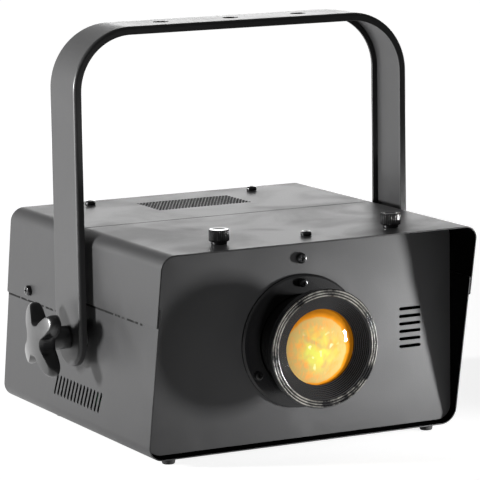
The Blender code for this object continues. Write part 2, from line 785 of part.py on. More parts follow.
def case_screws():
    for name, place in zip(("top", "left", "right"), flange_screw_places()):
        label = "flange_screw_" + name
        mesh = screw_mesh(label, FLANGE_SCREW_HEAD_RADIUS)
        add(label, mesh, "black_steel", FRONT, (place[0], place[1], FLANGE_THICKNESS))
    add("panel_screw", screw_mesh("panel_screw"), "black_steel", FRONT, (0, PANEL_SCREW_Z, 0))
    add("hood_screw", screw_mesh("hood_screw"), "black_steel", LIGHT, (0, TOP_SCREW_Y, CASE_HEIGHT))
    for name, side, facing in (("left", -1, FACING_LEFT), ("right", 1, FACING_RIGHT)):
        label = "rear_cover_screw_" + name
        place = (side * REAR_SCREW_X, rear_screw_y(), CASE_HEIGHT)
        add(label, screw_mesh(label), "black_steel", LIGHT, place)
        label = "side_cover_screw_" + name
        place = (side * COVER_HALF, SIDE_SCREW_Y, SIDE_SCREW_Z)
        add(label, screw_mesh(label), "black_steel", LIGHT, place, facing)


def hand_screw(name, side):
    """A knurled screw for the fingers: toothed head, plain collar and shank."""
    outline = []
    for i in range(HAND_SCREW_TEETH * 2):
        radius = HAND_SCREW_RADIUS - KNURL_DEPTH * (i % 2)
        turn = pi * i / HAND_SCREW_TEETH
        outline.append((radius * cos(turn), radius * sin(turn)))
    thick = HAND_SCREW_HEIGHT - HAND_SCREW_COLLAR
    bite = GAP + HAND_SCREW_COLLAR * 1.5
    mesh = plate_mesh(name, outline, (), thick, GAP + HAND_SCREW_HEIGHT)
    place = (side * HAND_SCREW_X, TOP_SCREW_Y, CASE_HEIGHT)
    screw = add(name, mesh, "black_steel", LIGHT, place)
    profile = [
        (0, bite),
        (HAND_SCREW_COLLAR_RADIUS, bite),
        (HAND_SCREW_COLLAR_RADIUS, GAP),
        (HAND_SCREW_SHANK_RADIUS, GAP),
        (HAND_SCREW_SHANK_RADIUS, -SCREW_REACH),
        (0, -SCREW_REACH),
    ]
    stem = add("stem", turned_mesh("stem", profile, 16), None, LIGHT, place)
    combine(screw, stem, "UNION")


def feet():
    profile = [
        (0, FOOT_HEIGHT),
        (FOOT_RADIUS * 0.8, FOOT_HEIGHT),
        (FOOT_RADIUS, FOOT_HEIGHT * 0.7),
        (FOOT_RADIUS, GAP),
        (0, GAP),
    ]
    for name, x, y in (
        ("front_left", -FOOT_X, FOOT_FRONT_Y),
        ("front_right", FOOT_X, FOOT_FRONT_Y),
        ("rear_left", -FOOT_X, FOOT_REAR_Y),
        ("rear_right", FOOT_X, FOOT_REAR_Y),
    ):
        label = "foot_" + name
        add(label, turned_mesh(label, profile, 16), "foot_rubber", LIGHT, (x, y, 0), FACING_DOWN)


def yoke_stations():
    """Middle line of the yoke's outer face from one round end to the other.

    Each station is (x, z, inward x, inward z, half width), from the pivots; the half width
    follows a semicircle at the two ends and is constant between them.
    """
    half = YOKE_WIDTH / 2
    top = YOKE_TOP_Z - PIVOT_Z
    bend = YOKE_CORNER
    ends = [-cos(radians(a)) for a in (0, 22.5, 45, 67.5)]
    leg = [(YOKE_FACE_X, half * e, -1, 0, half * (1 - e * e) ** 0.5) for e in ends]
    leg.append((YOKE_FACE_X, 0, -1, 0, half))
    turns = [radians(90 * i / YOKE_CORNER_STEPS) for i in range(YOKE_CORNER_STEPS + 1)]
    corner = [
        (YOKE_FACE_X - bend + bend * cos(a), top - bend + bend * sin(a), -cos(a), -sin(a), half)
        for a in turns
    ]
    right = leg + corner
    left = [(-x, z, -nx, nz, w) for x, z, nx, nz, w in reversed(right)]
    return right + left


def yoke_mesh():
    """The folded channel: a web with round ends, and a flange turned in all round its edge.

    At each station the web's edge lies half a width to each side; a point of the fold or
    flange moves outwards along the edge's own normal and inwards along the web's.
    """
    stations = yoke_stations()
    flat = YOKE_WIDTH / 2 - YOKE_FOLD
    columns = [(YOKE_FOLD * sin(radians(a)), YOKE_FOLD * (1 - cos(radians(a)))) for a in (0, 45, 90)]
    columns.append((YOKE_FOLD, YOKE_FLANGE))
    bm = bmesh.new()

    def point(station, side, out, depth):
        x, z, nx, nz, half = station
        share = half / (YOKE_WIDTH / 2)
        # Along the leg's end the edge's normal turns from sideways to straight down.
        height = z if z >= 0 else -(1 - share * share) ** 0.5 * (flat + out)
        across = side * share * (flat + out)
        return bm.verts.new((x + nx * depth, across, height + nz * depth))

    rows = []
    for station in stations:
        pointed = station[4] < 1e-6
        right = [point(station, 1, *column) for column in columns]
        left = right if pointed else [point(station, -1, *column) for column in columns]
        rows.append((left, right))
    for (left_a, right_a), (left_b, right_b) in zip(rows, rows[1:]):
        web = []
        for vert in (left_a[0], right_a[0], right_b[0], left_b[0]):
            if vert not in web:
                web.append(vert)
        bm.faces.new(web)
        for i in range(len(columns) - 1):
            bm.faces.new((right_a[i], right_a[i + 1], right_b[i + 1], right_b[i]))
            bm.faces.new((left_a[i + 1], left_a[i], left_b[i], left_b[i + 1]))
    bmesh.ops.recalc_face_normals(bm, faces=bm.faces)
    top = max(bm.faces, key=lambda face: face.calc_center_median().z)
    if top.normal.z < 0:
        bmesh.ops.reverse_faces(bm, faces=bm.faces)
    mesh = bpy.data.meshes.new("yoke")
    bm.to_mesh(mesh)
    bm.free()
    return thicken("yoke", mesh, YOKE_SHEET)


def yoke():
    piece = add("yoke", yoke_mesh(), "yoke_paint", LIGHT, (0, PIVOT_Y, PIVOT_Z))
    places = [i * YOKE_HOLE_SPACING for i in (-1, 0, 1)]
    rods = [(YOKE_HOLE_RADIUS, YOKE_PUNCH, (x, 0, 0)) for x in places]
    cut_rods(piece, LIGHT, rods, 20, (0, PIVOT_Y, YOKE_TOP_Z))
    rods = [(BOLT_RADIUS + RUNNING_GAP, ACROSS, (0, 0, 0))]
    cut_rods(piece, LIGHT, rods, 16, (0, PIVOT_Y, PIVOT_Z), FACING_RIGHT)


def knob_outline():
    """Four arms with round tips, and a round waist that runs from each arm into the next."""
    half = KNOB_ARM_WIDTH / 2
    waist = (KNOB_WAIST_BEND + half) / sin(pi / 4)
    outline = []
    for i in range(4):
        turn = KNOB_TURN + 90 * i
        along = radians(turn)
        tip = KNOB_TIP_RADIUS - half
        outline += arc((tip * cos(along), tip * sin(along)), half, turn - 90, turn + 90, 4)
        middle = along + pi / 4
        centre = (waist * cos(middle), waist * sin(middle))
        outline += arc(centre, KNOB_WAIST_BEND, turn + 270, turn + 180, 3)
    return outline


def star_knob(name, side, facing):
    """Moulded star with a domed middle on a round hub, bored for the stud."""
    place = (side * (YOKE_FACE_X + GAP), PIVOT_Y, PIVOT_Z)
    top = KNOB_HUB_LENGTH + KNOB_THICKNESS
    star = plate_mesh(name, knob_outline(), (), KNOB_THICKNESS, top)
    guide = add(name + "_star", star, None, LIGHT, place, facing)
    bevel = guide.modifiers.new("edges", "BEVEL")
    bevel.width = KNOB_EDGE
    bevel.segments = 1
    bevel.limit_method = "ANGLE"
    bevel.angle_limit = radians(50)
    bpy.context.view_layer.update()
    mesh = bpy.data.meshes.new_from_object(guide.evaluated_get(bpy.context.evaluated_depsgraph_get()))
    bpy.data.objects.remove(guide)
    knob = add(name, mesh, "knob_plastic", LIGHT, place, facing)
    bore = BOLT_RADIUS + GAP
    dome = KNOB_DOME_RADIUS
    profile = [
        (0, top + KNOB_DOME),
        (dome * 0.5, top + KNOB_DOME * 0.75),
        (dome * 0.85, top + KNOB_DOME * 0.3),
        (dome, top - KNOB_DOME),
        (KNOB_HUB_RADIUS, KNOB_HUB_LENGTH),
        (KNOB_HUB_RADIUS, 0),
        (0, 0),
    ]
    hub = add("hub", turned_mesh("hub", profile, KNOB_SIDES), None, LIGHT, place, facing)
    combine(knob, hub, "UNION")
    depth = KNOB_HUB_LENGTH + STUD_SINK
    cut_rods(knob, LIGHT, [(bore, depth * 2, (0, 0, 0))], KNOB_SIDES, place, facing)
    return depth


def pivot(name, side, facing):
    """Boss through the tray's wall, star knob, and the stud that screws through both."""
    wall = TRAY_HALF + GAP
    reach = YOKE_INNER_X - GAP - wall
    bore = BOLT_RADIUS + GAP
    profile = [
        (bore, reach),
        (BOSS_RADIUS, reach),
        (BOSS_RADIUS, 0),
        (BOSS_SPIGOT_RADIUS, 0),
        (BOSS_SPIGOT_RADIUS, -BOSS_SPIGOT_REACH),
        (bore, -BOSS_SPIGOT_REACH),
    ]
    place = (side * wall, PIVOT_Y, PIVOT_Z)
    label = "pivot_boss_" + name
    add(label, turned_mesh(label, profile, 18), "steel", LIGHT, place, facing)
    depth = star_knob("star_knob_" + name, side, facing)
    outer = YOKE_FACE_X + GAP - wall + depth - GAP
    stud = [
        (0, outer),
        (BOLT_RADIUS, outer),
        (BOLT_RADIUS, -BOSS_SPIGOT_REACH),
        (0, -BOSS_SPIGOT_REACH),
    ]
    label = "pivot_stud_" + name
    add(label, turned_mesh(label, stud, 16), "steel", LIGHT, place, facing)


def fan_slots():
    """Upright slots under the fan's bore, shorter towards its sides."""
    found = []
    count = int(FAN_BORE * 2 / FAN_SLOT_PITCH)
    for i in range(count):
        u = (i - (count - 1) / 2) * FAN_SLOT_PITCH
        length = 2 * (FAN_BORE * FAN_BORE - u * u) ** 0.5
        points = slot_outline((0, 0), length, FAN_SLOT_WIDTH)
        found.append([(FAN_AT[0] + u - y, FAN_AT[1] + x) for x, y in points])
    return found


def button_places():
    middle = (BUTTON_COUNT - 1) / 2
    return [(DISPLAY_AT[0] + (i - middle) * BUTTON_PITCH, BUTTON_V) for i in range(BUTTON_COUNT)]


def eye_places():
    return [(EYE_AT[0] + side * EYE_RADIUS, EYE_AT[1]) for side in (-1, 1)]


def rear_panel():
    """The slanted back with every opening its fittings need, and its flange under the cover."""
    low = REAR_PANEL_LOW
    outline = rounded(-PANEL_HALF, PANEL_HALF, low, REAR_PANEL_HIGH, TRAY_BEND, TOP_BEND)
    inlet = (INLET_WIDTH + 2 * GAP, INLET_HEIGHT + 2 * GAP)
    window = (DISPLAY_SIZE[0] + 2 * GAP, DISPLAY_SIZE[1] + 2 * GAP)
    holes = fan_slots()
    holes.append(box_outline(INLET_AT, inlet))
    holes.append(box_outline(DISPLAY_AT, window))
    holes += [circle(at, DATA_RADIUS + GAP, 16) for at in DATA_AT]
    holes.append(circle(FUSE_AT, FUSE_RADIUS + GAP, 16))
    # Every other button hole is turned half a side, so that no line runs along all their tops.
    for i, at in enumerate(button_places()):
        holes.append(circle(at, BUTTON_RADIUS + GAP, 12, 15 * (i % 2)))
    holes += [circle(at, EYE_WIRE + GAP, 12) for at in eye_places()]
    mesh = plate_mesh("rear_panel", outline, holes)
    panel = add("rear_panel", mesh, "case_paint", REAR)
    half = PANEL_HALF - TOP_BEND - SHEET
    face = back_edge(COVER_UNDER) - REAR_RECESS - SHEET / 2
    size = (2 * half, REAR_FLANGE_REACH, SHEET)
    place = (0, face - REAR_FLANGE_REACH / 2, COVER_UNDER - 2 * GAP - SHEET / 2)
    lip = add("lip", box_mesh("lip", [(size, place)]), None, LIGHT)
    combine(panel, lip, "UNION")
    small = SCREW_SHANK_RADIUS + GAP
    rods = [(small, PUNCH, (side * REAR_SCREW_X, rear_screw_y(), 0)) for side in (-1, 1)]
    cut_rods(panel, LIGHT, rods, 12, (0, 0, COVER_UNDER))


def fan():
    """Square frame with struts and motor seat, and the bladed rotor that turns in it."""
    frame_top = -SHEET - GAP
    half = FAN_SIZE / 2
    outline = rounded(-half, half, -half, half, FAN_CORNER, FAN_CORNER, 2)
    mesh = plate_mesh("fan_frame", outline, [circle((0, 0), FAN_BORE, 28)], FAN_DEPTH, frame_top)
    place = (*FAN_AT, 0)
    frame = add("fan_frame", mesh, "black_plastic", REAR, place)
    span = 2 * FAN_BORE + FAN_SPOKE
    middle = (0, 0, frame_top - FAN_DEPTH + FAN_SPOKE / 2 + GAP)
    spokes = add("spokes", box_mesh("spokes", [((span, FAN_SPOKE, FAN_SPOKE), middle)]), None, REAR, place)
    upright = box_mesh("upright", [((FAN_SPOKE, span, FAN_SPOKE), middle)])
    combine(spokes, add("upright", upright, None, REAR, place), "UNION")
    cup = rod_mesh("cup", [(FAN_HUB_RADIUS, FAN_SPOKE, middle)], 16)
    combine(spokes, add("cup", cup, None, REAR, place), "UNION")
    combine(frame, spokes, "UNION")
    floor = middle[2] + FAN_SPOKE / 2 + RUNNING_GAP
    top = frame_top - ROTOR_SETBACK
    hub = rod_mesh("fan_rotor", [(FAN_HUB_RADIUS, top - floor, (0, 0, (top + floor) / 2))], 16)
    rotor = add("fan_rotor", hub, "black_plastic", REAR, place)
    blades = add("blades", blade_mesh(floor, top), None, REAR, place)
    combine(rotor, blades, "UNION")


def blade_mesh(floor, top):
    """Pitched blades: at each radius a slanted strip, steeper near the hub."""
    bm = bmesh.new()
    inner = FAN_HUB_RADIUS * 0.85
    outer = FAN_BORE - BLADE_TIP_GAP
    margin = (top - floor) * 0.08
    for blade in range(FAN_BLADES):
        start = 2 * pi * blade / FAN_BLADES
        rings = []
        for i in range(4):
            radius = inner + (outer - inner) * i / 3
            sweep = BLADE_SWEEP - BLADE_TWIST * i
            ring = []
            for turn, z in ((-sweep, floor + margin), (sweep, top - margin)):
                for shift in (-BLADE_HALF_THICKNESS, BLADE_HALF_THICKNESS):
                    angle = start + turn + shift / radius
                    ring.append(bm.verts.new((radius * cos(angle), radius * sin(angle), z)))
            rings.append([ring[0], ring[1], ring[3], ring[2]])
        bm.faces.new(rings[0])
        bm.faces.new(rings[-1])
        for a, b in zip(rings, rings[1:]):
            for j in range(4):
                k = (j + 1) % 4
                bm.faces.new((a[j], a[k], b[k], b[j]))
    return mesh_of(bm, "blades")


def power_inlet():
    """Three-blade appliance inlet: flange, body, cavity with its chamfered corners, blades."""
    size = (INLET_WIDTH + 4 * INLET_FLANGE_MARGIN, INLET_HEIGHT + INLET_FLANGE_MARGIN)
    at = (*INLET_AT, 0)
    flange_top = GAP + INLET_WALL
    x, y = size[0] / 2, size[1] / 2
    outline = rounded(-x, x, -y, y, SOCKET_CORNER, SOCKET_CORNER, 2)
    mesh = plate_mesh("power_inlet", outline, (), INLET_WALL, flange_top)
    inlet = add("power_inlet", mesh, "black_plastic", REAR, at)
    overlap = INLET_WALL / 2
    body = [((INLET_WIDTH, INLET_HEIGHT, INLET_DEPTH), (0, 0, flange_top - overlap - INLET_DEPTH / 2))]
    combine(inlet, add("body", box_mesh("body", body), None, REAR, at), "UNION")
    a = INLET_WIDTH / 2 - INLET_WALL
    b = INLET_HEIGHT / 2 - INLET_WALL
    corner = INLET_CORNER
    cavity = [(-a, -b), (a, -b), (a, b - corner), (a - corner, b), (-a + corner, b), (-a, b - corner)]
    mesh = plate_mesh("cavity", cavity, (), INLET_CAVITY_DEPTH + GAP, flange_top + GAP)
    combine(inlet, add("cavity", mesh, None, REAR, at))
    floor = flange_top - INLET_CAVITY_DEPTH
    blade = (*INLET_BLADE, PIN_RISE + overlap)
    blades = [(blade, (u, v, floor + PIN_RISE / 2 - overlap / 2)) for u, v in INLET_POLES]
    combine(inlet, add("blades", box_mesh("blades", blades), None, REAR, at), "UNION")


def data_socket(name, at, male):
    """Round three-pole data socket on a square flange, with pins or with holes for them."""
    x, y = DATA_FLANGE[0] / 2, DATA_FLANGE[1] / 2
    top = GAP + INLET_WALL
    outline = rounded(-x, x, -y, y, SOCKET_CORNER, SOCKET_CORNER, 2)
    mesh = plate_mesh(name, outline, (), INLET_WALL, top)
    socket = add(name, mesh, "black_plastic", REAR, (*at, 0))
    depth = DATA_DEPTH
    overlap = INLET_WALL / 2
    body = rod_mesh("body", [(DATA_RADIUS, depth, (0, 0, top - overlap - depth / 2))], 16)
    combine(socket, add("body", body, None, REAR, (*at, 0)), "UNION")
    poles = [radians(a) for a in (210, 330, 90)]
    places = [(PIN_CIRCLE * cos(a), PIN_CIRCLE * sin(a)) for a in poles]
    if male:
        floor = top - DATA_CAVITY_DEPTH
        mouth = [(DATA_CAVITY_RADIUS, DATA_CAVITY_DEPTH * 2, (0, 0, top))]
        cut_rods(socket, REAR, mouth, 16, (*at, 0))
        middle = floor + PIN_RISE / 2 - overlap / 2
        rods = [(PIN_RADIUS, PIN_RISE + overlap, (u, v, middle)) for u, v in places]
        pins = add("pins", rod_mesh("pins", rods, 8), None, REAR, (*at, 0))
        combine(socket, pins, "UNION")
    else:
        rods = [(PIN_RADIUS + GAP, PIN_RISE * 2, (u, v, top)) for u, v in places]
        cut_rods(socket, REAR, rods, 8, (*at, 0))


def fuse():
    """Fuse holder through the panel, open in front for the cap's spigot."""
    top = GAP + INLET_WALL
    lip = FUSE_RADIUS + INLET_WALL
    profile = [
        (FUSE_BORE, top),
        (lip, top),
        (lip, GAP),
        (FUSE_RADIUS, GAP),
        (FUSE_RADIUS, -FUSE_DEPTH),
        (FUSE_BORE, -FUSE_DEPTH),
    ]
    add("fuse_holder", turned_mesh("fuse_holder", profile, 16), "black_plastic", REAR, (*FUSE_AT, 0))
    stem = FUSE_BORE - RUNNING_GAP
    base = top + GAP
    profile = [
        (0, base + FUSE_CAP_HEIGHT),
        (FUSE_CAP_RADIUS * 0.85, base + FUSE_CAP_HEIGHT),
        (FUSE_CAP_RADIUS, base),
        (stem, base),
        (stem, -FUSE_STEM_DEPTH),
        (0, -FUSE_STEM_DEPTH),
    ]
    add("fuse_cap", turned_mesh("fuse_cap", profile, 16), "knob_plastic", REAR, (*FUSE_AT, 0))


def display_and_buttons():
    window = box_outline((0, 0), DISPLAY_SIZE)
    mesh = plate_mesh("display_window", window, (), DISPLAY_THICKNESS, DISPLAY_PROUD)
    add("display_window", mesh, "display_black", REAR, (*DISPLAY_AT, 0))
    profile = [
        (0, BUTTON_PROUD),
        (BUTTON_RADIUS * 0.8, BUTTON_PROUD),
        (BUTTON_RADIUS, BUTTON_PROUD * 0.75),
        (BUTTON_RADIUS, -BUTTON_DEPTH),
        (0, -BUTTON_DEPTH),
    ]
    for i, at in enumerate(button_places()):
        label = "menu_button_%d" % (i + 1)
        add(label, turned_mesh(label, profile, 12), "knob_plastic", REAR, (*at, 0))


def safety_eye():
    """Bent wire eye for a safety cable: two straight ends through the panel, joined by a half ring."""
    curve = bpy.data.curves.new("safety_eye", "CURVE")
    curve.dimensions = "3D"
    curve.bevel_depth = EYE_WIRE
    curve.bevel_resolution = 2
    curve.use_fill_caps = True
    bow = arc((0, EYE_STAND), EYE_RADIUS, 0, 180, 8)
    points = [(EYE_RADIUS, -EYE_ROOT)] + bow + [(-EYE_RADIUS, -EYE_ROOT)]
    spline = curve.splines.new("POLY")
    spline.points.add(len(points) - 1)
    for point, (u, out) in zip(spline.points, points):
        point.co = (u, 0, out, 1)
    curve.materials.append(finish("steel"))
    obj = bpy.data.objects.new("safety_eye", curve)
    PARTS.objects.link(obj)
    obj.parent = REAR
    obj.location = (*EYE_AT, 0)


def optical_plate():
    """Upright plate that carries both wheel motors and the condenser, with a foot on the tray."""
    low = SHEET + GAP
    outline = box_outline((0, (low + PLATE_TOP_Z) / 2), (2 * PLATE_HALF_WIDTH, PLATE_TOP_Z - low))
    holes = [circle((0, LAMP_AXIS_Z), BEAM_RADIUS + GAP, 24)]
    holes += [circle(axis, SHAFT_RADIUS + RUNNING_GAP, 12) for axis in (EFFECT_AXIS, COLOUR_AXIS)]
    mesh = plate_mesh("optical_plate", outline, holes, BRACKET_SHEET)
    plate = add("optical_plate", mesh, "zinc_plate", LIGHT, (0, PLATE_Y, 0), FACING_FRONT)
    half = TRAY_HALF - TRAY_BEND
    width = 2 * min(half, PLATE_HALF_WIDTH)
    size = (width, PLATE_FOOT, BRACKET_SHEET)
    place = (0, PLATE_Y + PLATE_FOOT / 2, low + BRACKET_SHEET / 2)
    combine(plate, add("foot", box_mesh("foot", [(size, place)]), None, LIGHT), "UNION")


def wheel_parts(name, axis, disc_y, disc_mesh, disc_finish):
    """A wheel, its shaft, and the motor behind the plate that turns them."""
    x, z = axis
    add(name + "_wheel", disc_mesh, disc_finish, LIGHT, (x, disc_y, z), FACING_FRONT)
    back = PLATE_Y + BRACKET_SHEET + GAP
    motor = [
        (SHAFT_RADIUS + RUNNING_GAP, 0),
        (MOTOR_RADIUS, 0),
        (MOTOR_RADIUS, -MOTOR_LENGTH),
        (SHAFT_RADIUS + RUNNING_GAP, -MOTOR_LENGTH),
    ]
    label = name + "_motor"
    add(label, turned_mesh(label, motor, 20), "black_steel", LIGHT, (x, back, z), FACING_FRONT)
    front = back - disc_y + SHAFT_PROUD
    shaft = [(0, front), (SHAFT_RADIUS, front), (SHAFT_RADIUS, -MOTOR_LENGTH), (0, -MOTOR_LENGTH)]
    label = name + "_shaft"
    add(label, turned_mesh(label, shaft, 12), "steel", LIGHT, (x, back, z), FACING_FRONT)


def effect_wheel():
    """Moulded glass disc, with a hub that grips the shaft."""
    bore = SHAFT_RADIUS + GAP
    face = EFFECT_GLASS / 2
    profile = [
        (bore, WHEEL_HUB_HEIGHT + face),
        (WHEEL_HUB_RADIUS, WHEEL_HUB_HEIGHT + face),
        (WHEEL_HUB_RADIUS, face),
        (EFFECT_RADIUS, face),
        (EFFECT_RADIUS, -face),
        (bore, -face),
    ]
    mesh = turned_mesh("effect_wheel", profile, 28)
    wheel_parts("effect", EFFECT_AXIS, EFFECT_Y, mesh, "ripple_glass")


def colour_wheel():
    """Disc with round colour windows, as many as fit round its hub."""
    turn = 2 * pi / COLOUR_WINDOWS
    reach = COLOUR_RADIUS - COLOUR_WINDOW_RADIUS - COLOUR_DISC
    holes = [circle((0, 0), SHAFT_RADIUS + GAP, 12)]
    holes += [
        circle((reach * cos(turn * i), reach * sin(turn * i)), COLOUR_WINDOW_RADIUS, 10)
        for i in range(COLOUR_WINDOWS)
    ]
    outline = circle((0, 0), COLOUR_RADIUS, 28)
    mesh = plate_mesh("colour_wheel", outline, holes, COLOUR_DISC, COLOUR_DISC / 2)
    wheel_parts("colour", COLOUR_AXIS, COLOUR_Y, mesh, "colour_disc")


def condenser_lens():
    """Thick lens held in the plate's aperture."""
    back = -BRACKET_SHEET - CONDENSER_EDGE
    profile = [
        (0, CONDENSER_FRONT),
        (BEAM_RADIUS * 0.6, CONDENSER_FRONT * 0.7),
        (BEAM_RADIUS, 0),
        (BEAM_RADIUS, back),
        (BEAM_RADIUS * 0.6, back - CONDENSER_BACK * 0.7),
        (0, back - CONDENSER_BACK),
    ]
    mesh = turned_mesh("condenser_lens", profile, 16)
    add("condenser_lens", mesh, "ripple_glass", LIGHT, (0, PLATE_Y, LAMP_AXIS_Z), FACING_FRONT)


def lamp_and_heatsink():
    """Finned heatsink on its bracket, with the lamp module on its front face."""
    half = SINK_WIDTH / 2
    outline = [(-half, 0), (half, 0)]
    pitch = (SINK_WIDTH - SINK_FIN) / (SINK_FINS - 1)
    for i in reversed(range(SINK_FINS)):
        left = -half + pitch * i
        right = left + SINK_FIN
        if i < SINK_FINS - 1:
            outline.append((right, SINK_BASE))
        outline += [(right, SINK_DEPTH), (left, SINK_DEPTH)]
        if i > 0:
            outline.append((left, SINK_BASE))
    mesh = plate_mesh("heatsink", outline, (), SINK_HEIGHT, SINK_HEIGHT / 2)
    add("heatsink", mesh, "aluminium", LIGHT, (0, SINK_Y, LAMP_AXIS_Z))
    profile = [
        (0, LAMP_DOME),
        (LAMP_DOME_RADIUS * 0.7, LAMP_DOME * 0.85),
        (LAMP_DOME_RADIUS, LAMP_COLLAR),
        (LAMP_COLLAR_RADIUS, LAMP_COLLAR),
        (LAMP_COLLAR_RADIUS, LAMP_BASE),
        (LAMP_RADIUS, LAMP_BASE),
        (LAMP_RADIUS, GAP),
        (0, GAP),
    ]
    mesh = turned_mesh("lamp_module", profile, 16)
    add("lamp_module", mesh, "lamp_white", LIGHT, (0, SINK_Y, LAMP_AXIS_Z), FACING_FRONT)
    deck = LAMP_AXIS_Z - SINK_HEIGHT / 2 - GAP
    low = SHEET + GAP + BRACKET_SHEET
    wide = BRACKET_HALF_WIDTH
    path = [(-wide - BRACKET_FOOT, low), (-wide, low), (-wide, deck), (wide, deck), (wide, low),
            (wide + BRACKET_FOOT, low)]

    def edges(point):
        x, z = point
        return (x, SINK_Y + BRACKET_LENGTH, z), (x, SINK_Y, z)

    mesh = strip_mesh("heatsink_bracket", path, edges, BRACKET_SHEET)
    add("heatsink_bracket", mesh, "zinc_plate", LIGHT)


def board(name, side, size, boxes):
    """Circuit board on four pillars, with its tallest components joined on."""
    low = SHEET + GAP
    deck = low + BOARD_LIFT
    solids = [((size[0], size[1], BOARD_THICKNESS), (0, 0, deck + BOARD_THICKNESS / 2))]
    place = (side * BOARD_X, BOARD_Y, 0)
    piece = add(name, box_mesh(name, solids), "circuit_board", LIGHT, place)
    bite = BOARD_THICKNESS / 2
    extras = []
    for (a, b, c), (u, v) in boxes:
        extras.append(((a, b, c + bite), (u, v, deck + BOARD_THICKNESS + c / 2 - bite / 2)))
    for u in (-1, 1):
        for v in (-1, 1):
            x = u * (size[0] / 2 - PILLAR_INSET)
            y = v * (size[1] / 2 - PILLAR_INSET)
            pillar = (PILLAR_SIZE, PILLAR_SIZE, BOARD_LIFT + bite)
            extras.append((pillar, (x, y, low + pillar[2] / 2)))
    combine(piece, add("components", box_mesh("components", extras), None, LIGHT, place), "UNION")


def boards():
    board("power_board", -1, POWER_BOARD, POWER_COMPONENTS)
    board("control_board", 1, CONTROL_BOARD, CONTROL_COMPONENTS)


def build_case():
    base_tray()
    front_hood_cover()
    rear_top_cover()
    front_panel()
    rear_panel()
    case_screws()
    for name, side in (("left", -1), ("right", 1)):
        hand_screw("hand_screw_" + name, side)
    feet()


def build_yoke():
    yoke()
    pivot("left", -1, FACING_LEFT)
    pivot("right", 1, FACING_RIGHT)


def build_rear():
    fan()
    power_inlet()
    data_socket("data_in_socket", DATA_AT[0], True)
    data_socket("data_out_socket", DATA_AT[1], False)
    fuse()
    display_and_buttons()
    safety_eye()


def build_inside():
    optical_plate()
    effect_wheel()
    colour_wheel()
    condenser_lens()
    lamp_and_heatsink()
    boards()


build_case()
lens_flange()
focus_barrel()
build_yoke()
build_rear()
build_inside()
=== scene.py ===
"""Multi-effect stage light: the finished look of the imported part, laid out as an add-on.

Lengths are metres. The panel frame has y = 0 at the front panel's face, z = 0 under the base
tray and x = 0 on the lens's axis; the front looks along -Y. Each new piece is a surface worked
out with numpy: a sheet cut from outlines and folded along its bends, a profile turned about an
axis, or a round wire carried along a path.
"""

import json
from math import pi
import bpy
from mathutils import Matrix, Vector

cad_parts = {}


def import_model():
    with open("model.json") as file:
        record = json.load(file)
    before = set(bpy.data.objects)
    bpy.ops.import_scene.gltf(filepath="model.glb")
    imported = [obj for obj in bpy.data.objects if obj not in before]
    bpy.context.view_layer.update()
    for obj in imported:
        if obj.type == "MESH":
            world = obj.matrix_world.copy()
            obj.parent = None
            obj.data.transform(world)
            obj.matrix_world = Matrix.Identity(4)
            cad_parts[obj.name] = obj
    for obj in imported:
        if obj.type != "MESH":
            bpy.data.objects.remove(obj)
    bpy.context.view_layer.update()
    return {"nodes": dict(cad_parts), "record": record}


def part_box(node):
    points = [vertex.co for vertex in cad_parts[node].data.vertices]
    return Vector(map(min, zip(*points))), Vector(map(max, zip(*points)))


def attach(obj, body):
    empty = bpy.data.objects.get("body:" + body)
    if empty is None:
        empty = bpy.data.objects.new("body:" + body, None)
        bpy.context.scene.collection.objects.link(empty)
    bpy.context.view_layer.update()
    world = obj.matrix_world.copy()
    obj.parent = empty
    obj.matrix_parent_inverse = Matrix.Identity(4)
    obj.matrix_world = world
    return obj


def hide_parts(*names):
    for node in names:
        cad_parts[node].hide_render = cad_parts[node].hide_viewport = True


bl_info = {
    "name": "Multi-effect stage light",
    "version": (1, 0, 0),
    "blender": (4, 5, 0),
    "location": "3D View > Sidebar > Stage light",
    "description": "Builds the finished look of a multi-effect stage light on its packed model",
    "category": "Add Mesh",
}

import bpy
import numpy as np
from bpy.props import FloatProperty, FloatVectorProperty, IntProperty, PointerProperty
from mathutils import Matrix
from mathutils.geometry import delaunay_2d_cdt

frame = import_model()
TRAY_LOW, TRAY_HIGH = (np.array(corner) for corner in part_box("base_tray"))

X, Y, Z = np.eye(3)
BOTH = np.array((-1, 1))
SIDES = (("left", -1), ("right", 1))


# properties


def length(name, description, default):
    return FloatProperty(name=name, description=description, default=default, unit="LENGTH", precision=5)


def share(name, description, default):
    return FloatProperty(name=name, description=description, default=default, subtype="FACTOR", soft_max=1.0)


def angle(name, description, degrees):
    default = float(np.radians(degrees))
    return FloatProperty(name=name, description=description, default=default, subtype="ANGLE")


def count(name, description, default):
    return IntProperty(name=name, description=description, default=default, min=1)


def power(name, description, default):
    return FloatProperty(name=name, description=description, default=default, unit="POWER")


def colour(name, description, default):
    return FloatVectorProperty(
        name=name, description=description, default=default, subtype="COLOR", min=0.0, max=1.0
    )


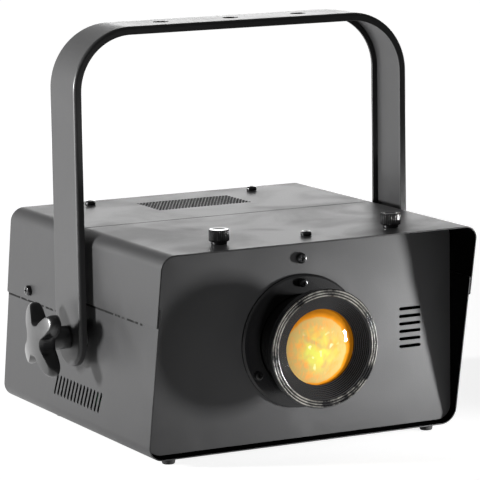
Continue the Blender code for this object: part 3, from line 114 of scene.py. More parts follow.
class CaseSizes(bpy.types.PropertyGroup):
    """Folded sheets of the case."""

    sheet: length("Sheet", "Thickness of the case's sheet", 0.0012)
    edge: length("Edge", "Rounding of a cut edge", 0.0003)
    gap: length("Gap", "Clearance between seated pieces", 0.0003)
    width: length("Width", "Width over the covers", 0.300)
    height: length("Height", "Height from under the tray to the top", 0.1796)
    top_bend: length("Top bend", "Outer radius of the covers' bends", 0.012)
    corner: length("Corner", "Rounding of a sheet's outer corners", 0.0015)
    notch: length("Notch", "Width of the cut beside a lip's bend", 0.0006)
    pivot_hole: length("Pivot hole", "Radius of the hole for a pivot's boss", 0.0085)
    tray_bend: length("Tray bend", "Outer radius of the tray's bends", 0.014)
    hood_top: length("Hood reach, top", "How far the hood stands in front of the panel at the top", 0.0422)
    hood_low: length("Hood reach, bottom", "The same at the bottom", 0.0051)
    back_top: length("Back reach, top", "From the panel to the back edge at the top", 0.2690)
    back_low: length("Back reach, bottom", "From the panel to the back edge at the bottom", 0.3028)
    seam: length("Seam", "Where the two covers meet, behind the panel", 0.128)
    seam_gap: length("Seam gap", "Width of the line between the covers", 0.0010)
    # Height of the band of painted shade under the covers' skirts.
    seam_shade_height: length("Seam line", "Height of the dark line under the covers' skirts", 0.0026)
    front_skirt: length("Front skirt", "Height of the front cover's lower edge", 0.1175)
    rear_skirt: length("Rear skirt", "Height of the rear cover's lower edge", 0.1010)
    tray_wall: length("Tray wall", "Height of the tray's walls", 0.1340)
    louvres: count("Louvres", "Slots in each side wall", 14)
    louvre_pitch: length("Louvre pitch", "Distance between slots", 0.00702)
    louvre_width: length("Louvre width", "Width of a slot", 0.0029)
    louvre_low: length("Louvre foot", "Height of the slots' lower ends", 0.0240)
    louvre_rise: length("Louvre rise", "Height of a slot", 0.0190)
    louvre_lean: length("Louvre lean", "How far a slot leans forward over its height", 0.0098)
    louvre_first: length("First louvre", "How far behind the panel the first slot starts", 0.0950)
    vent_x: length("Vent middle", "Middle of the perforated field across the light", 0.0025)
    vent_y: length("Vent depth", "Middle of the perforated field behind the panel", 0.2075)
    vent_columns: count("Vent columns", "Holes in a row", 29)
    vent_rows: count("Vent rows", "Rows of holes", 17)
    vent_pitch: length("Vent pitch", "Distance between holes in a row", 0.0032)
    vent_row_pitch: length("Vent row pitch", "Distance between rows", 0.00285)
    vent_hole: length("Vent hole", "Radius of a hole", 0.00136)
    panel_low: length("Panel foot", "Height of the front panel's lower edge", 0.0037)
    panel_bend: length("Panel bend", "Outer radius of the lip's bend", 0.0012)
    panel_lip: length("Panel lip", "How far the panel's lip reaches forward under the hood", 0.0200)
    slot_left: length("Slot start", "Inner end of the panel's slots from the lens's axis", 0.096)
    slot_length: length("Slot length", "Length of a panel slot", 0.021)
    slot_width: length("Slot width", "Height of a panel slot", 0.0026)
    slots: count("Slots", "Slots in the panel", 6)
    slot_pitch: length("Slot pitch", "Distance between panel slots", 0.0066)
    slot_low: length("Lowest slot", "Height of the lowest panel slot", 0.0723)


class LensSizes(bpy.types.PropertyGroup):
    """Flange, sliding barrel and glass."""

    height: length("Axis height", "Height of the lens's axis above the tray's underside", 0.0878)
    flange: length("Flange", "Radius of the flange", 0.0575)
    flange_depth: length("Flange depth", "Thickness of the flange", 0.0030)
    flange_bevel: length("Flange bevel", "Slope round the flange's face", 0.0010)
    sleeve: length("Sleeve", "How far the flange's sleeve reaches behind the panel", 0.012)
    sleeve_wall: length("Sleeve wall", "Wall of the flange's sleeve", 0.0030)
    barrel: length("Barrel", "Outer radius of the barrel's tube", 0.0405)
    wall: length("Barrel wall", "Wall of the barrel's tube", 0.0030)
    running: length("Running gap", "Clearance of a sliding or turning piece", 0.0005)
    inside: length("Inside length", "How far the barrel reaches behind the panel", 0.020)
    rim: length("Rim", "Outer radius of the barrel's rim", 0.0510)
    rim_edge: length("Rim edge", "Rounding of the rim's outer edge", 0.0004)
    shoulder: length("Shoulder", "Step between the tube's bore and the pocket of the glass", 0.0015)
    seat_lip: length("Seat lip", "Height of the wall in front of the glass, below the steps", 0.0010)
    rim_depth: length("Rim depth", "Depth of the rim", 0.0070)
    mouth: length("Mouth", "Inner radius of the rim's face", 0.0440)
    face: length("Face", "How far the rim's face stands in front of the panel", 0.0430)
    ridges: count("Ridges", "Rings on the rim's face", 3)
    ridge_depth: length("Ridge depth", "Depth of the grooves between the rings", 0.0010)
    baffles: count("Baffles", "Fine steps down the inside of the rim", 9)
    glass: length("Glass", "Radius of the front lens", 0.0350)
    view: length("View", "Radius of the glass that shows", 0.0325)
    setback: length("Setback", "From the rim's face to the glass's seat", 0.0110)
    glass_edge: length("Glass edge", "Thickness of the glass at its edge", 0.0060)
    crown: length("Crown", "How far the glass bulges", 0.0065)
    retainer: length("Retainer", "Depth of the ring behind the glass", 0.0035)
    screw_circle: length("Screw circle", "Radius on which the flange's screws sit", 0.0505)
    screw_head: length("Flange screw head", "Radius of a flange screw's head", 0.0038)


class CarriageSizes(bpy.types.PropertyGroup):
    """Yoke, pivots and star knobs."""

    pivot_y: length("Pivot depth", "Pivot axis behind the panel", 0.124)
    pivot_z: length("Pivot height", "Pivot axis above the tray's underside", 0.0870)
    sheet: length("Sheet", "Thickness of the yoke", 0.0025)
    edge: length("Edge", "Rounding of the yoke's cut edges", 0.0006)
    face_x: length("Face", "Outer face of a leg from the middle", 0.1619)
    width: length("Width", "Width of the yoke", 0.0516)
    flange: length("Flange", "Depth of the yoke's flange", 0.0070)
    fold: length("Fold", "Outer radius of the flange's fold", 0.0030)
    top: length("Top", "Height of the yoke's top face", 0.3535)
    corner: length("Corner", "Radius of the yoke's upper corners", 0.0540)
    hole: length("Hole", "Radius of the clamp holes", 0.0068)
    hole_edge: length("Hole edge", "Rounding of the holes' edges", 0.0004)
    spacing: length("Hole spacing", "Distance between the clamp holes", 0.067)
    bolt: length("Stud", "Radius of the pivot stud", 0.0050)
    tip: length("Knob tip", "Radius of the star knob over its arms", 0.0360)
    arm: length("Knob arm", "Width of a knob arm", 0.0140)
    waist: length("Knob waist", "Radius of the hollow between two arms", 0.0100)
    knob: length("Knob thickness", "Thickness of the knob's star", 0.0130)
    knob_edge: length("Knob edge", "Rounding of the star's edges", 0.0040)
    hub: length("Hub", "Radius of the knob's hub", 0.0100)
    hub_length: length("Hub length", "From the yoke to the star", 0.0170)
    dome: length("Dome", "Height of the knob's middle over the CAD star's face", 0.0030)
    fall: length("Fall", "How far an arm's tip lies under the knob's middle", 0.0065)
    knob_turn: angle("Knob turn", "Turn of the star at rest", 38)


class FastenerSizes(bpy.types.PropertyGroup):
    """Screws, hand screws and feet."""

    head: length("Head", "Radius of a case screw's head", 0.0047)
    head_height: length("Head height", "Height of a screw's head", 0.0038)
    shank: length("Shank", "Radius of a screw's shank", 0.0018)
    reach: length("Reach", "Length of a screw's shank", 0.0060)
    top_y: length("Top screws", "Screws on the hood, behind the panel", -0.0105)
    side_x: length("Hand screw side", "Hand screw from the middle", 0.082)
    hand: length("Hand screw", "Radius of a hand screw's head", 0.0086)
    hand_height: length("Hand screw height", "Height of a hand screw's head", 0.0122)
    hand_collar: length("Collar", "Height of the plain collar under it", 0.0022)
    hand_neck: length("Collar radius", "Radius of that collar", 0.0068)
    hand_shank: length("Hand screw shank", "Radius of a hand screw's shank", 0.0028)
    knurls: count("Knurls", "Ribs round a hand screw", 30)
    knurl_depth: length("Knurl depth", "Depth of the ribs", 0.0008)
    panel_z: length("Panel screw", "Height of the screw above the lens", 0.1589)
    rear_x: length("Rear screw side", "Rear cover screw from the middle", 0.082)
    rear_setback: length("Rear screw setback", "Rear cover screw from the back edge", 0.022)
    side_y: length("Side screw depth", "Side screw behind the panel", 0.232)
    side_z: length("Side screw height", "Side screw above the tray's underside", 0.110)
    foot: length("Foot", "Radius of a rubber foot", 0.0062)
    foot_height: length("Foot height", "Height of a rubber foot", 0.0050)
    foot_x: length("Foot side", "Foot from the middle", 0.125)
    foot_front: length("Front feet", "Front feet behind the panel", 0.005)
    foot_rear: length("Rear feet", "Rear feet behind the panel", 0.222)


class RearSizes(bpy.types.PropertyGroup):
    """Rear panel and its fittings; u runs to the left seen from the front, v up the panel."""

    recess: length("Recess", "How far the panel sits inside the back edge", 0.0060)
    low: length("Foot", "Lower edge of the panel", 0.0018)
    lip: length("Lip", "Reach of the panel's lip under the cover", 0.034)
    bend: length("Bend", "Outer radius of the lip's bend", 0.0024)
    fan_u: length("Fan across", "Middle of the fan", -0.080)
    fan_v: length("Fan height", "Middle of the fan", 0.090)
    fan_bore: length("Fan bore", "Radius of the fan's bore", 0.0375)
    fan_slot: length("Fan slot", "Width of a slot before the fan", 0.0030)
    fan_pitch: length("Fan slot pitch", "Distance between the slots", 0.0070)
    inlet_u: length("Inlet across", "Middle of the power inlet", 0.105)
    inlet_v: length("Inlet height", "Middle of the power inlet", 0.034)
    inlet_width: length("Inlet width", "Width of the inlet's body", 0.0275)
    inlet_tall: length("Inlet size", "Height of the inlet's body", 0.0200)
    data_u: length("Data across", "The data socket nearer the middle", 0.028)
    data_spacing: length("Data spacing", "Distance between the data sockets", 0.038)
    data_v: length("Data height", "Middle of the data sockets", 0.036)
    data: length("Data socket", "Radius of a socket's body", 0.0095)
    fuse_v: length("Fuse height", "Middle of the fuse, above the inlet", 0.074)
    fuse: length("Fuse", "Radius of the fuse holder", 0.0065)
    fuse_cap: length("Fuse cap", "Radius of the fuse cap", 0.0085)
    fuse_cap_height: length("Fuse cap height", "Height of the fuse cap", 0.0080)
    fuse_ribs: count("Fuse ribs", "Ribs round the fuse cap", 24)
    fuse_rib: length("Fuse rib", "Depth of a rib", 0.0004)
    fuse_coin: length("Coin slot", "Depth of the slot in the cap's top", 0.0016)
    fuse_coin_half: length("Coin slot side", "From the slot's middle to its wall", 0.0007)
    fuse_stem: length("Fuse stem", "Radius of the cap's stem", 0.0034)
    fuse_stem_depth: length("Fuse stem depth", "How far the stem reaches in", 0.0120)
    fuse_flange: length("Fuse flange", "Thickness of the holder's flange", 0.0018)
    display_u: length("Display across", "Middle of the display", 0.060)
    display_v: length("Display height", "Middle of the display", 0.142)
    display_width: length("Display width", "Width of the display", 0.044)
    display_tall: length("Display size", "Height of the display", 0.018)
    button_v: length("Button height", "Middle of the buttons", 0.116)
    button_pitch: length("Button pitch", "Distance between buttons", 0.0150)
    buttons: count("Buttons", "Number of menu buttons", 4)
    button: length("Button", "Radius of a button", 0.0036)
    button_proud: length("Button reach", "How far a button stands out", 0.0026)
    button_dish: length("Button dish", "Depth of the hollow in a button's top", 0.0004)
    button_depth: length("Button depth", "How far a button reaches in", 0.0060)
    eye_drop: length("Eye drop", "Safety eye below the panel's top", 0.0232)
    eye: length("Eye", "Radius of the safety eye's bow", 0.0085)
    eye_wire: length("Eye wire", "Radius of the safety eye's wire", 0.0025)
    eye_stand: length("Eye stand", "How far the bow's middle stands out", 0.0051)
    eye_root: length("Eye root", "How far the wire reaches in", 0.0068)


class Finishes(bpy.types.PropertyGroup):
    """Colours of the finishes."""

    case_paint: colour("Case", "Powder coat of the case", (0.035, 0.035, 0.036))
    yoke_paint: colour("Yoke", "Powder coat of the yoke", (0.037, 0.037, 0.038))
    black_plastic: colour("Black plastic", "Lens barrel, flange and sockets", (0.009, 0.009, 0.0095))
    # Painted shade: near-black colour of the covers' inner faces, standing for the shade inside the hood.
    inside: colour("Inside of the covers", "Thin matt coat", (0.004, 0.004, 0.004))
    # Light grey painted in patches on the crests of the barrel's rings.
    rim_plastic: colour("Ridged rim", "Worn crests of the lens's rim", (0.330, 0.318, 0.290))
    knob_plastic: colour("Knobs", "Star knobs and buttons", (0.010, 0.010, 0.0105))
    black_steel: colour("Screws", "Blackened screws", (0.020, 0.020, 0.021))
    steel: colour("Steel", "Bare steel", (0.560, 0.560, 0.570))
    zinc_plate: colour("Zinc", "Zinc plate inside", (0.480, 0.480, 0.460))
    aluminium: colour("Aluminium", "Heatsink", (0.600, 0.610, 0.620))
    # The front lens's colours also feed its glow, which is painted light; its pale middle and deep border are
    # painted light and shade of the lit inside seen through it.
    glass_pale: colour("Glass, pale", "Lightest part of the front lens", (0.420, 0.295, 0.098))
    glass_yellow: colour("Glass, yellow", "Yellow part of the front lens", (0.490, 0.480, 0.080))
    glass_orange: colour("Glass, orange", "Orange part of the front lens", (0.520, 0.185, 0.009))
    glass_deep: colour("Glass, deep", "Darkest part of the front lens", (0.240, 0.085, 0.003))
    glass_blush: colour("Glass, blush", "Reddish patches of the front lens", (0.610, 0.265, 0.060))
    # Painted glints on the front lens.
    glass_spark: colour("Glass, spark", "Bright flecks of the front lens", (0.860, 0.850, 0.480))
    foot_rubber: colour("Rubber", "Feet", (0.016, 0.016, 0.016))
    circuit_board: colour("Circuit boards", "Solder mask", (0.015, 0.100, 0.040))
    lamp_white: colour("Lamp", "Lamp module", (0.800, 0.790, 0.720))
    colour_disc: colour("Colour wheel", "Coated disc", (0.600, 0.330, 0.080))
    ripple_glass: colour("Effect wheel", "Rippled glass", (0.750, 0.800, 0.820))
    display_black: colour("Display", "Dark window of the display", (0.006, 0.006, 0.008))
    rubbed: colour("Rubbed edges", "Bare metal or plastic that shows there", (0.300, 0.300, 0.300))
    # Painted shade: the dark line under the covers' skirts stands for the shade in the gap there.
    seam: colour("Seam", "Dark line under the covers' edges", (0.002, 0.002, 0.002))


class StageSetup(bpy.types.PropertyGroup):
    """Floor, lamps and camera."""

    floor: colour("Floor", "Colour of the floor", (0.450, 0.450, 0.450))
    floor_light: share("Floor light", "Light that the floor adds where the camera sees it", 0.84)
    floor_front: share("Floor in front", "The same in reflections, in front of the light", 0.15)
    backdrop_slope: FloatProperty(
        name="Backdrop slope", description="How fast the backdrop darkens upwards in reflections", default=1.5
    )
    ambient: share("Ambient", "Strength of the world for the object", 0.05)
    front: share("Front", "How light the room in front looks in reflections", 0.12)
    side_power: power("Side lamp", "Lamp close at the right", 0.50)
    side_spread: angle("Side lamp beam", "Angle of the side lamp's beam", 44)
    fill_power: power("Fill lamp", "Low lamp in front", 0.18)
    fill_spread: angle("Fill lamp beam", "Angle of the fill lamp's beam", 22)
    key_power: power("Key lamp", "Lamp at the left", 68.0)
    strip_power: power("Strip lamp", "Low strip behind", 8.0)
    open_spread: angle("Open beam", "Angle of the beams of the other lamps", 180)
    azimuth: angle("Azimuth", "Turn of the camera round the light", -27.072)
    elevation: angle("Elevation", "Camera above the horizon", 9.258)
    roll: angle("Roll", "Turn of the camera about its own axis", -0.884)
    eye: FloatVectorProperty(
        name="Camera", description="Place of the camera", default=(-1.2286, -2.4220, 0.6039), unit="LENGTH"
    )
    focal: FloatProperty(name="Focal length", description="In millimetres", default=233.84)


# frames


def light(*names):
    """The scene's groups of sizes by their names: one by itself, or several in order."""
    groups = [getattr(bpy.context.scene, "light_" + name) for name in names]
    return groups if len(groups) > 1 else groups[0]


def panel_point(x, y, z):
    """A point given in the panel frame, in the world."""
    case = light("case")
    return np.array((x, y + TRAY_HIGH[1] - case.back_low, z + TRAY_LOW[2]))


def front_edge(z):
    """Front edge of the covers and the tray: a straight slope from the bottom to the top."""
    case = light("case")
    return -(case.hood_low + (case.hood_top - case.hood_low) * z / case.height)


def back_edge(z):
    """Back edge of the covers and the tray: a straight slope from the bottom to the top."""
    case = light("case")
    return case.back_low + (case.back_top - case.back_low) * z / case.height


def facing(way, x, y, z):
    """(origin, right, up, out) of a local frame at a point of the panel frame."""
    ways = {
        "top": (X, Y, Z),
        "front": (X, Z, -Y),
        "right": (Y, Z, X),
        "left": (-Y, Z, -X),
        "down": (X, -Y, -Z),
    }
    return (panel_point(x, y, z), *ways[way])


def rear_frame(u, v):
    """Local frame on the slanted rear panel: u to the left seen from the front, v up, out backwards."""
    case = light("case")
    rise = np.array((0, case.back_top - case.back_low, case.height))
    up = unit(rise)
    right = -X
    out = np.cross(right, up)
    start = panel_point(0, back_edge(0) - light("rear").recess, 0)
    return start + u * right + v * up, right, up, out


# flat outlines


def cross(first, second):
    """Cross product of flat vectors."""
    return first[..., 0] * second[..., 1] - first[..., 1] * second[..., 0]


def leftward(vectors):
    """Flat vectors turned a quarter to the left."""
    return np.stack((-vectors[..., 1], vectors[..., 0]), -1)


def unit(vectors):
    """Vectors divided by their lengths."""
    return vectors / np.linalg.norm(vectors, axis=-1, keepdims=True)


def pairs(x, y):
    """Points (x, y) from two lists of numbers, either of which may be a single number."""
    return np.stack(np.broadcast_arrays(np.asarray(x, float), np.asarray(y, float)), -1)


def halves(a, b, c, d):
    """Two triangles for each of the squares whose corners are a, b, c and d."""
    return np.concatenate((np.stack((a, b, c), -1).reshape(-1, 3), np.stack((a, c, d), -1).reshape(-1, 3)))


def arc(centre, radius, start, end, steps):
    """Points at equal turns on a circle, from the start angle to the end angle in degrees."""
    turn = np.radians(np.linspace(start, end, steps + 1))
    return pairs(centre[0] + radius * np.cos(turn), centre[1] + radius * np.sin(turn))


def circles(centres, radius, sides):
    """One ring of points round each centre, as an array (rings, sides, 2)."""
    ring = arc((0, 0), radius, 0, 360, sides)[:-1]
    return np.asarray(centres, float).reshape(-1, 1, 2) + ring


def soften(corners, radii, steps=4):
    """A closed outline whose corners are replaced by arcs that touch both their sides.

    A corner of radius 0 stays one point. Also returned is where each corner starts in the result.
    """
    corners = np.asarray(corners, float)
    radii = np.broadcast_to(np.asarray(radii, float), len(corners))
    before = unit(corners - np.roll(corners, 1, 0))
    after = unit(np.roll(corners, -1, 0) - corners)
    turn = np.arctan2(cross(before, after), (before * after).sum(1))
    cut = radii * np.tan(np.abs(turn) / 2)
    left = leftward(before) * np.sign(turn)[:, None]
    centre = corners - before * cut[:, None] + left * radii[:, None]
    first = np.arctan2(-left[:, 1], -left[:, 0])
    angles = first[:, None] + turn[:, None] * np.linspace(0, 1, steps + 1)
    ring = pairs(np.cos(angles), np.sin(angles)) * radii[:, None, None]
    points = centre[:, None] + ring
    keep = (radii[:, None] > 0) | (np.arange(steps + 1) == 0)
    starts = np.concatenate(([0], np.cumsum(keep.sum(1))[:-1]))
    return points[keep], starts


def box_loop(centre, size, radius, steps=4):
    """A rectangle with rounded corners, as an outline."""
    half = np.asarray(size) / 2
    signs = np.array(((-1, -1), (1, -1), (1, 1), (-1, 1)))
    return soften(np.asarray(centre) + signs * half, radius, steps)[0]


def slot_loops(feet, heads, width, steps=5):
    """Slots with round ends, each from its foot to its head, as an array (slots, points, 2)."""
    feet, heads = np.asarray(feet, float), np.asarray(heads, float)
    along = unit(heads - feet)
    across = leftward(along)
    turn = np.linspace(-pi / 2, pi / 2, steps + 1)
    half = width / 2
    end = np.cos(turn)[:, None] * along[:, None] + np.sin(turn)[:, None] * across[:, None]
    top = (heads - along * half)[:, None] + end * half
    low = (feet + along * half)[:, None] - end * half
    return np.concatenate((top, low), 1)


# surfaces


class Fold:
    """Section of a folded sheet's outer face: points and normals against the length along it.

    whole is its length without the straight ends that run on, and lines are its bend lines.
    """

    def __init__(self, lengths, points, normals, along):
        self.lengths = lengths
        self.points = points
        self.normals = normals
        self.along = along
        self.whole = lengths[-2]
        self.lines = lengths[2:-2]
        # Where |t| is larger than this, the sheet stays in the plane of its first flat.
        self.flat_beyond = np.inf

    def read(self, table, at):
        """Rows of a table of the section, read between its entries at the given lengths."""
        return np.stack([np.interp(at, self.lengths, column) for column in table.T], -1)

    def place(self, s, t, depth):
        """The face's point at s, moved t along the bends and depth into the sheet."""
        straight = (np.abs(t) > self.flat_beyond)[..., None]
        way = np.cross(self.along, self.normals[0])
        ahead = self.points[1] + (s - self.lengths[1])[..., None] * way
        face = np.where(straight, ahead, self.read(self.points, s))
        normal = unit(np.where(straight, self.normals[0], self.read(self.normals, s)))
        return face + t[..., None] * self.along - normal * depth[..., None], normal


def folded(start, across, up, heading, moves, side=1, steps=14):
    """A section that starts at a point and follows moves in the plane of two directions.

    A move is (length, 0) for a flat, or (radius, turn in degrees) for a bend, left turns being
    positive. The normal lies to the left of the way for side 1. The two ends run on straight.
    """
    run_on = 0.1
    arcs, turns = [run_on], [0.0]
    for size, turn in moves:
        number = steps if turn else 1
        arcs += [np.radians(abs(turn)) * size / steps if turn else size] * number
        turns += [np.radians(turn) / number] * number
    arcs, turns = np.array(arcs + [run_on]), np.array(turns + [0.0])
    # The chord of a small arc is its length times sin(h)/h of half its turn.
    chords = arcs * np.sinc(turns / (2 * pi))
    headings = np.radians(heading) + np.concatenate(([0], np.cumsum(turns)))
    middle = headings[:-1] + turns / 2
    steps_2d = chords[:, None] * pairs(np.cos(middle), np.sin(middle))
    flat_points = np.concatenate(([[0, 0]], np.cumsum(steps_2d, 0))) - steps_2d[0]
    lengths = np.concatenate(([0], np.cumsum(arcs))) - arcs[0]
    points = start + flat_points[:, :1] * across + flat_points[:, 1:] * up
    normals = side * (-np.sin(headings)[:, None] * across + np.cos(headings)[:, None] * up)
    way = np.cos(headings[0]) * across + np.sin(headings[0]) * up
    return Fold(lengths, points, normals, np.cross(normals[0], way))


def trough(start, wall, bend, width, heading, steps=14):
    """Section of a sheet with two walls: along one, over the flat between and along the other."""
    moves = [(wall, 0), (bend, -90), (width, 0), (bend, -90), (wall, 0)]
    return folded(start, X, Z, heading, moves, steps=steps)


def cut_edge(thickness, edge, steps=3):
    """Levels down a cut edge, from the outer face's border to the inner one's.

    Each level is (out, depth, share of the outward normal, share of the face's normal): a
    quarter circle of the edge's radius, the wall, and the same quarter mirrored.
    """
    turn = np.linspace(0, pi / 2, steps + 1)
    upper = np.stack((edge * (np.sin(turn) - 1), edge * (1 - np.cos(turn)), np.sin(turn), np.cos(turn)), 1)
    lower = upper[::-1] * (1, -1, 1, -1) + (0, thickness, 0, 0)
    return np.concatenate((upper, lower))


def flanged_edge(thickness, fold, reach, edge, steps=6):
    """Levels of a border folded over by 90 degrees into a flange, round its rim and back inside."""
    turn = np.linspace(0, pi / 2, steps + 1)
    sine, cosine = np.sin(turn), np.cos(turn)
    inner = fold - thickness
    outside = np.stack((fold * sine, fold * (1 - cosine), sine, cosine), 1)
    rim_out = np.stack((fold - edge * (1 - cosine), reach - edge * (1 - sine), cosine, -sine), 1)
    rim_in = np.stack((inner + edge * (1 - sine), reach - edge * (1 - cosine), -sine, -cosine), 1)
    inside = np.stack((inner * sine, thickness + inner * (1 - cosine), -sine, -cosine), 1)[::-1]
    return np.concatenate((outside, rim_out, rim_in[1:], inside))


def fill(border, lines, loop_of):
    """Triangles between the outline and the holes, turned the same way, with the lines as edges."""
    made = delaunay_2d_cdt(border.tolist(), lines.tolist(), [], 1, 1e-7)
    if len(made[0]) != len(border):
        raise RuntimeError("an outline crosses another one or a fold line")
    tri = np.array([face for face in made[2] if len(face) == 3])
    first, second, third = loop_of[tri].T
    tri = tri[~((first > 0) & (first == second) & (first == third))]
    a, b, c = (border[tri[:, i]] for i in range(3))
    flip = cross(b - a, c - a) < 0
    tri[flip] = tri[flip][:, ::-1]
    return tri


def cut_sheet(outline, holes, folds, section, levels, hole_levels=None):
    """Vertices, normals, edge masks and triangles of a sheet cut from outlines and folded.

    The outline runs with the sheet on its left; each entry of holes is an array (holes, points,
    2). Every loop is offset by each level's reach along the corner's bisector and set at its
    depth. The two faces are the triangles between the first levels and between the last ones,
    with the fold lines, given as pairs of the outline's points, kept as edges.
    """
    hole_levels = levels if hole_levels is None else hole_levels
    groups = [(np.asarray(outline, float)[None], levels)]
    groups += [(np.asarray(hole, float), hole_levels) for hole in holes]
    vertices, normals, masks, faces = [], [], [], []
    border, loop_of, lines, first_row, last_row = [], [], [np.asarray(folds, int)], [], []
    loop_base = 0
    for loops, rows in groups:
        vertex_base, border_base = (sum(map(len, made)) for made in (vertices, border))
        if loop_base:
            area = cross(loops, np.roll(loops, -1, 1)).sum(1)
            loops = np.where((area > 0)[:, None, None], loops[:, ::-1], loops)
        ahead = np.roll(loops, -1, 1) - loops
        size = np.linalg.norm(ahead, axis=2, keepdims=True)
        left = leftward(ahead) / size
        left_before, size_before = np.roll(left, 1, 1), np.roll(size, 1, 1)
        miter = (left + left_before) / (1 + (left * left_before).sum(2, keepdims=True))
        outward = unit(-(left * size**2 + left_before * size_before**2))[:, :, None] * rows[:, 2, None]
        flat_points = loops[:, :, None] - miter[:, :, None] * rows[:, 0, None]
        depth = np.broadcast_to(rows[:, 1], flat_points.shape[:3])
        points, face_normal = section.place(flat_points[..., 0], flat_points[..., 1], depth)
        way = np.cross(section.along, face_normal)
        leaning = outward[..., :1] * way + outward[..., 1:] * section.along + rows[:, 3, None] * face_normal
        number, corners, rank = points.shape[:3]
        grid = vertex_base + np.arange(number * corners * rank).reshape(number, corners, rank)
        after = np.roll(grid, -1, 1)
        edge_mask = np.abs(rows[:, 2] * rows[:, 3]) * (0 if loop_base else 2)
        vertices.append(points.reshape(-1, 3))
        normals.append(leaning.reshape(-1, 3))
        masks.append(np.broadcast_to(edge_mask, points.shape[:3]).ravel())
        faces.append(halves(grid[..., :-1], grid[..., 1:], after[..., 1:], after[..., :-1]))
        border.append(flat_points[:, :, 0].reshape(-1, 2))
        first_row.append(grid[..., 0].ravel())
        last_row.append(grid[..., -1].ravel())
        loop_of.append(np.repeat(loop_base + np.arange(number), corners))
        ring = border_base + np.arange(number * corners).reshape(number, corners)
        lines.append(np.stack((ring, np.roll(ring, -1, 1)), 2).reshape(-1, 2))
        loop_base += number
    lines = np.concatenate(lines[1:] + lines[:1])
    tri = fill(np.concatenate(border), lines, np.concatenate(loop_of))
    faces += [np.concatenate(first_row)[tri], np.concatenate(last_row)[tri][:, ::-1]]
    return tuple(np.concatenate(made) for made in (vertices, normals, masks, faces))


def turned(profile, place, sides=64, shape=None, start=0.0):
    """Vertices, normals, masks and triangles of a profile of (radius, height) turned about an axis.

    The profile runs down its outer side. An end on the axis is closed by one point, and a profile
    with no end there is closed on itself. shape(radius, height, turn) may move the grid's points.
    A row's normal is the mean of its two neighbouring slopes, weighted by their squared lengths.
    """
    profile = np.asarray(profile, float)
    origin, right, up, out = place
    closed = profile[0, 0] > 0 and profile[-1, 0] > 0
    ahead = np.roll(profile, -1, 0) - profile
    slope = leftward(ahead) * np.linalg.norm(ahead, axis=1, keepdims=True)
    before = np.roll(slope, 1, 0)
    if not closed:
        slope[-1] = 0
        before[0] = 0
    row_normal = unit(slope + before)
    turn = start + np.arange(sides) * 2 * pi / sides
    radius, height = np.repeat(profile[:, :1], sides, 1), np.repeat(profile[:, 1:], sides, 1)
    if shape:
        radius, height = shape(radius, height, np.broadcast_to(turn, radius.shape))
    ring = np.cos(turn)[:, None] * right + np.sin(turn)[:, None] * up
    points = (origin + radius[..., None] * ring + height[..., None] * out).reshape(-1, 3)
    normal = (row_normal[:, None, :1] * ring + row_normal[:, None, 1:] * out).reshape(-1, 3)
    grid = np.arange(len(points)).reshape(-1, sides)
    rows, following = (grid, np.roll(grid, -1, 0)) if closed else (grid[:-1], grid[1:])
    faces = halves(rows, following, np.roll(following, -1, 1), np.roll(rows, -1, 1))
    merged = np.arange(len(points))
    for end, row in ((0, grid[0]), (-1, grid[-1])):
        if profile[end, 0] == 0:
            merged[row] = row[0]
            normal[row[0]] = out * np.sign(row_normal[end, 1])
    faces = merged[faces]
    faces = faces[(faces != np.roll(faces, 1, 1)).all(1)]
    used, faces = np.unique(faces, return_inverse=True)
    points, normal, faces = points[used], normal[used], faces.reshape(-1, 3)
    if shape:
        normal = face_normals(points, faces)
    return points, normal, np.zeros(len(points)), faces


def swept(path, radius, sides=16):
    """A round wire along a flat path, closed by a domed end at each side: rings square to the way.

    Each ring's frame is the path's plane normal and its cross product with the way.
    """
    rings, flattened, tip = 4, 0.6, 1e-5
    path = np.asarray(path, float)
    way = unit(np.gradient(path, axis=0))
    plane = unit(np.cross(path[len(path) // 2] - path[0], path[-1] - path[0]))
    side = np.cross(way, plane)
    lead = np.linspace(0, pi / 2, rings + 1)[:-1]
    domed = np.sin(lead) * radius + tip
    reach = (np.cos(lead) * radius)[:, None]
    sizes = np.concatenate((domed, np.full(len(path), radius), domed[::-1]))
    head = path[0] - way[0] * reach * flattened
    tail = path[-1] + way[-1] * reach[::-1] * flattened
    centres = np.concatenate((head, path, tail))
    side = np.concatenate((np.repeat(side[:1], rings, 0), side, np.repeat(side[-1:], rings, 0)))
    turn = np.arange(sides) * 2 * pi / sides
    ring = np.cos(turn)[:, None] * side[:, None] + np.sin(turn)[:, None] * plane
    points = (centres[:, None] + sizes[:, None, None] * ring).reshape(-1, 3)
    grid = np.arange(len(points)).reshape(-1, sides)
    after = np.roll(grid, -1, 1)
    faces = halves(grid[:-1], after[:-1], after[1:], grid[1:])
    fan = np.arange(1, sides - 1)
    first = np.stack((fan * 0, fan + 1, fan), 1)
    last = grid[-1, 0] + np.stack((fan * 0, fan, fan + 1), 1)
    faces = np.concatenate((faces, first, last))
    return points, face_normals(points, faces), np.zeros(len(points)), faces


def face_normals(points, faces):
    """Each point's normal: the sum of its faces' normals, weighted by their areas."""
    a, b, c = points[faces[:, 0]], points[faces[:, 1]], points[faces[:, 2]]
    flat_normals = np.cross(b - a, c - a)
    total = np.zeros_like(points)
    for i in range(3):
        np.add.at(total, faces[:, i], flat_normals)
    return total / np.maximum(np.linalg.norm(total, axis=1, keepdims=True), 1e-12)


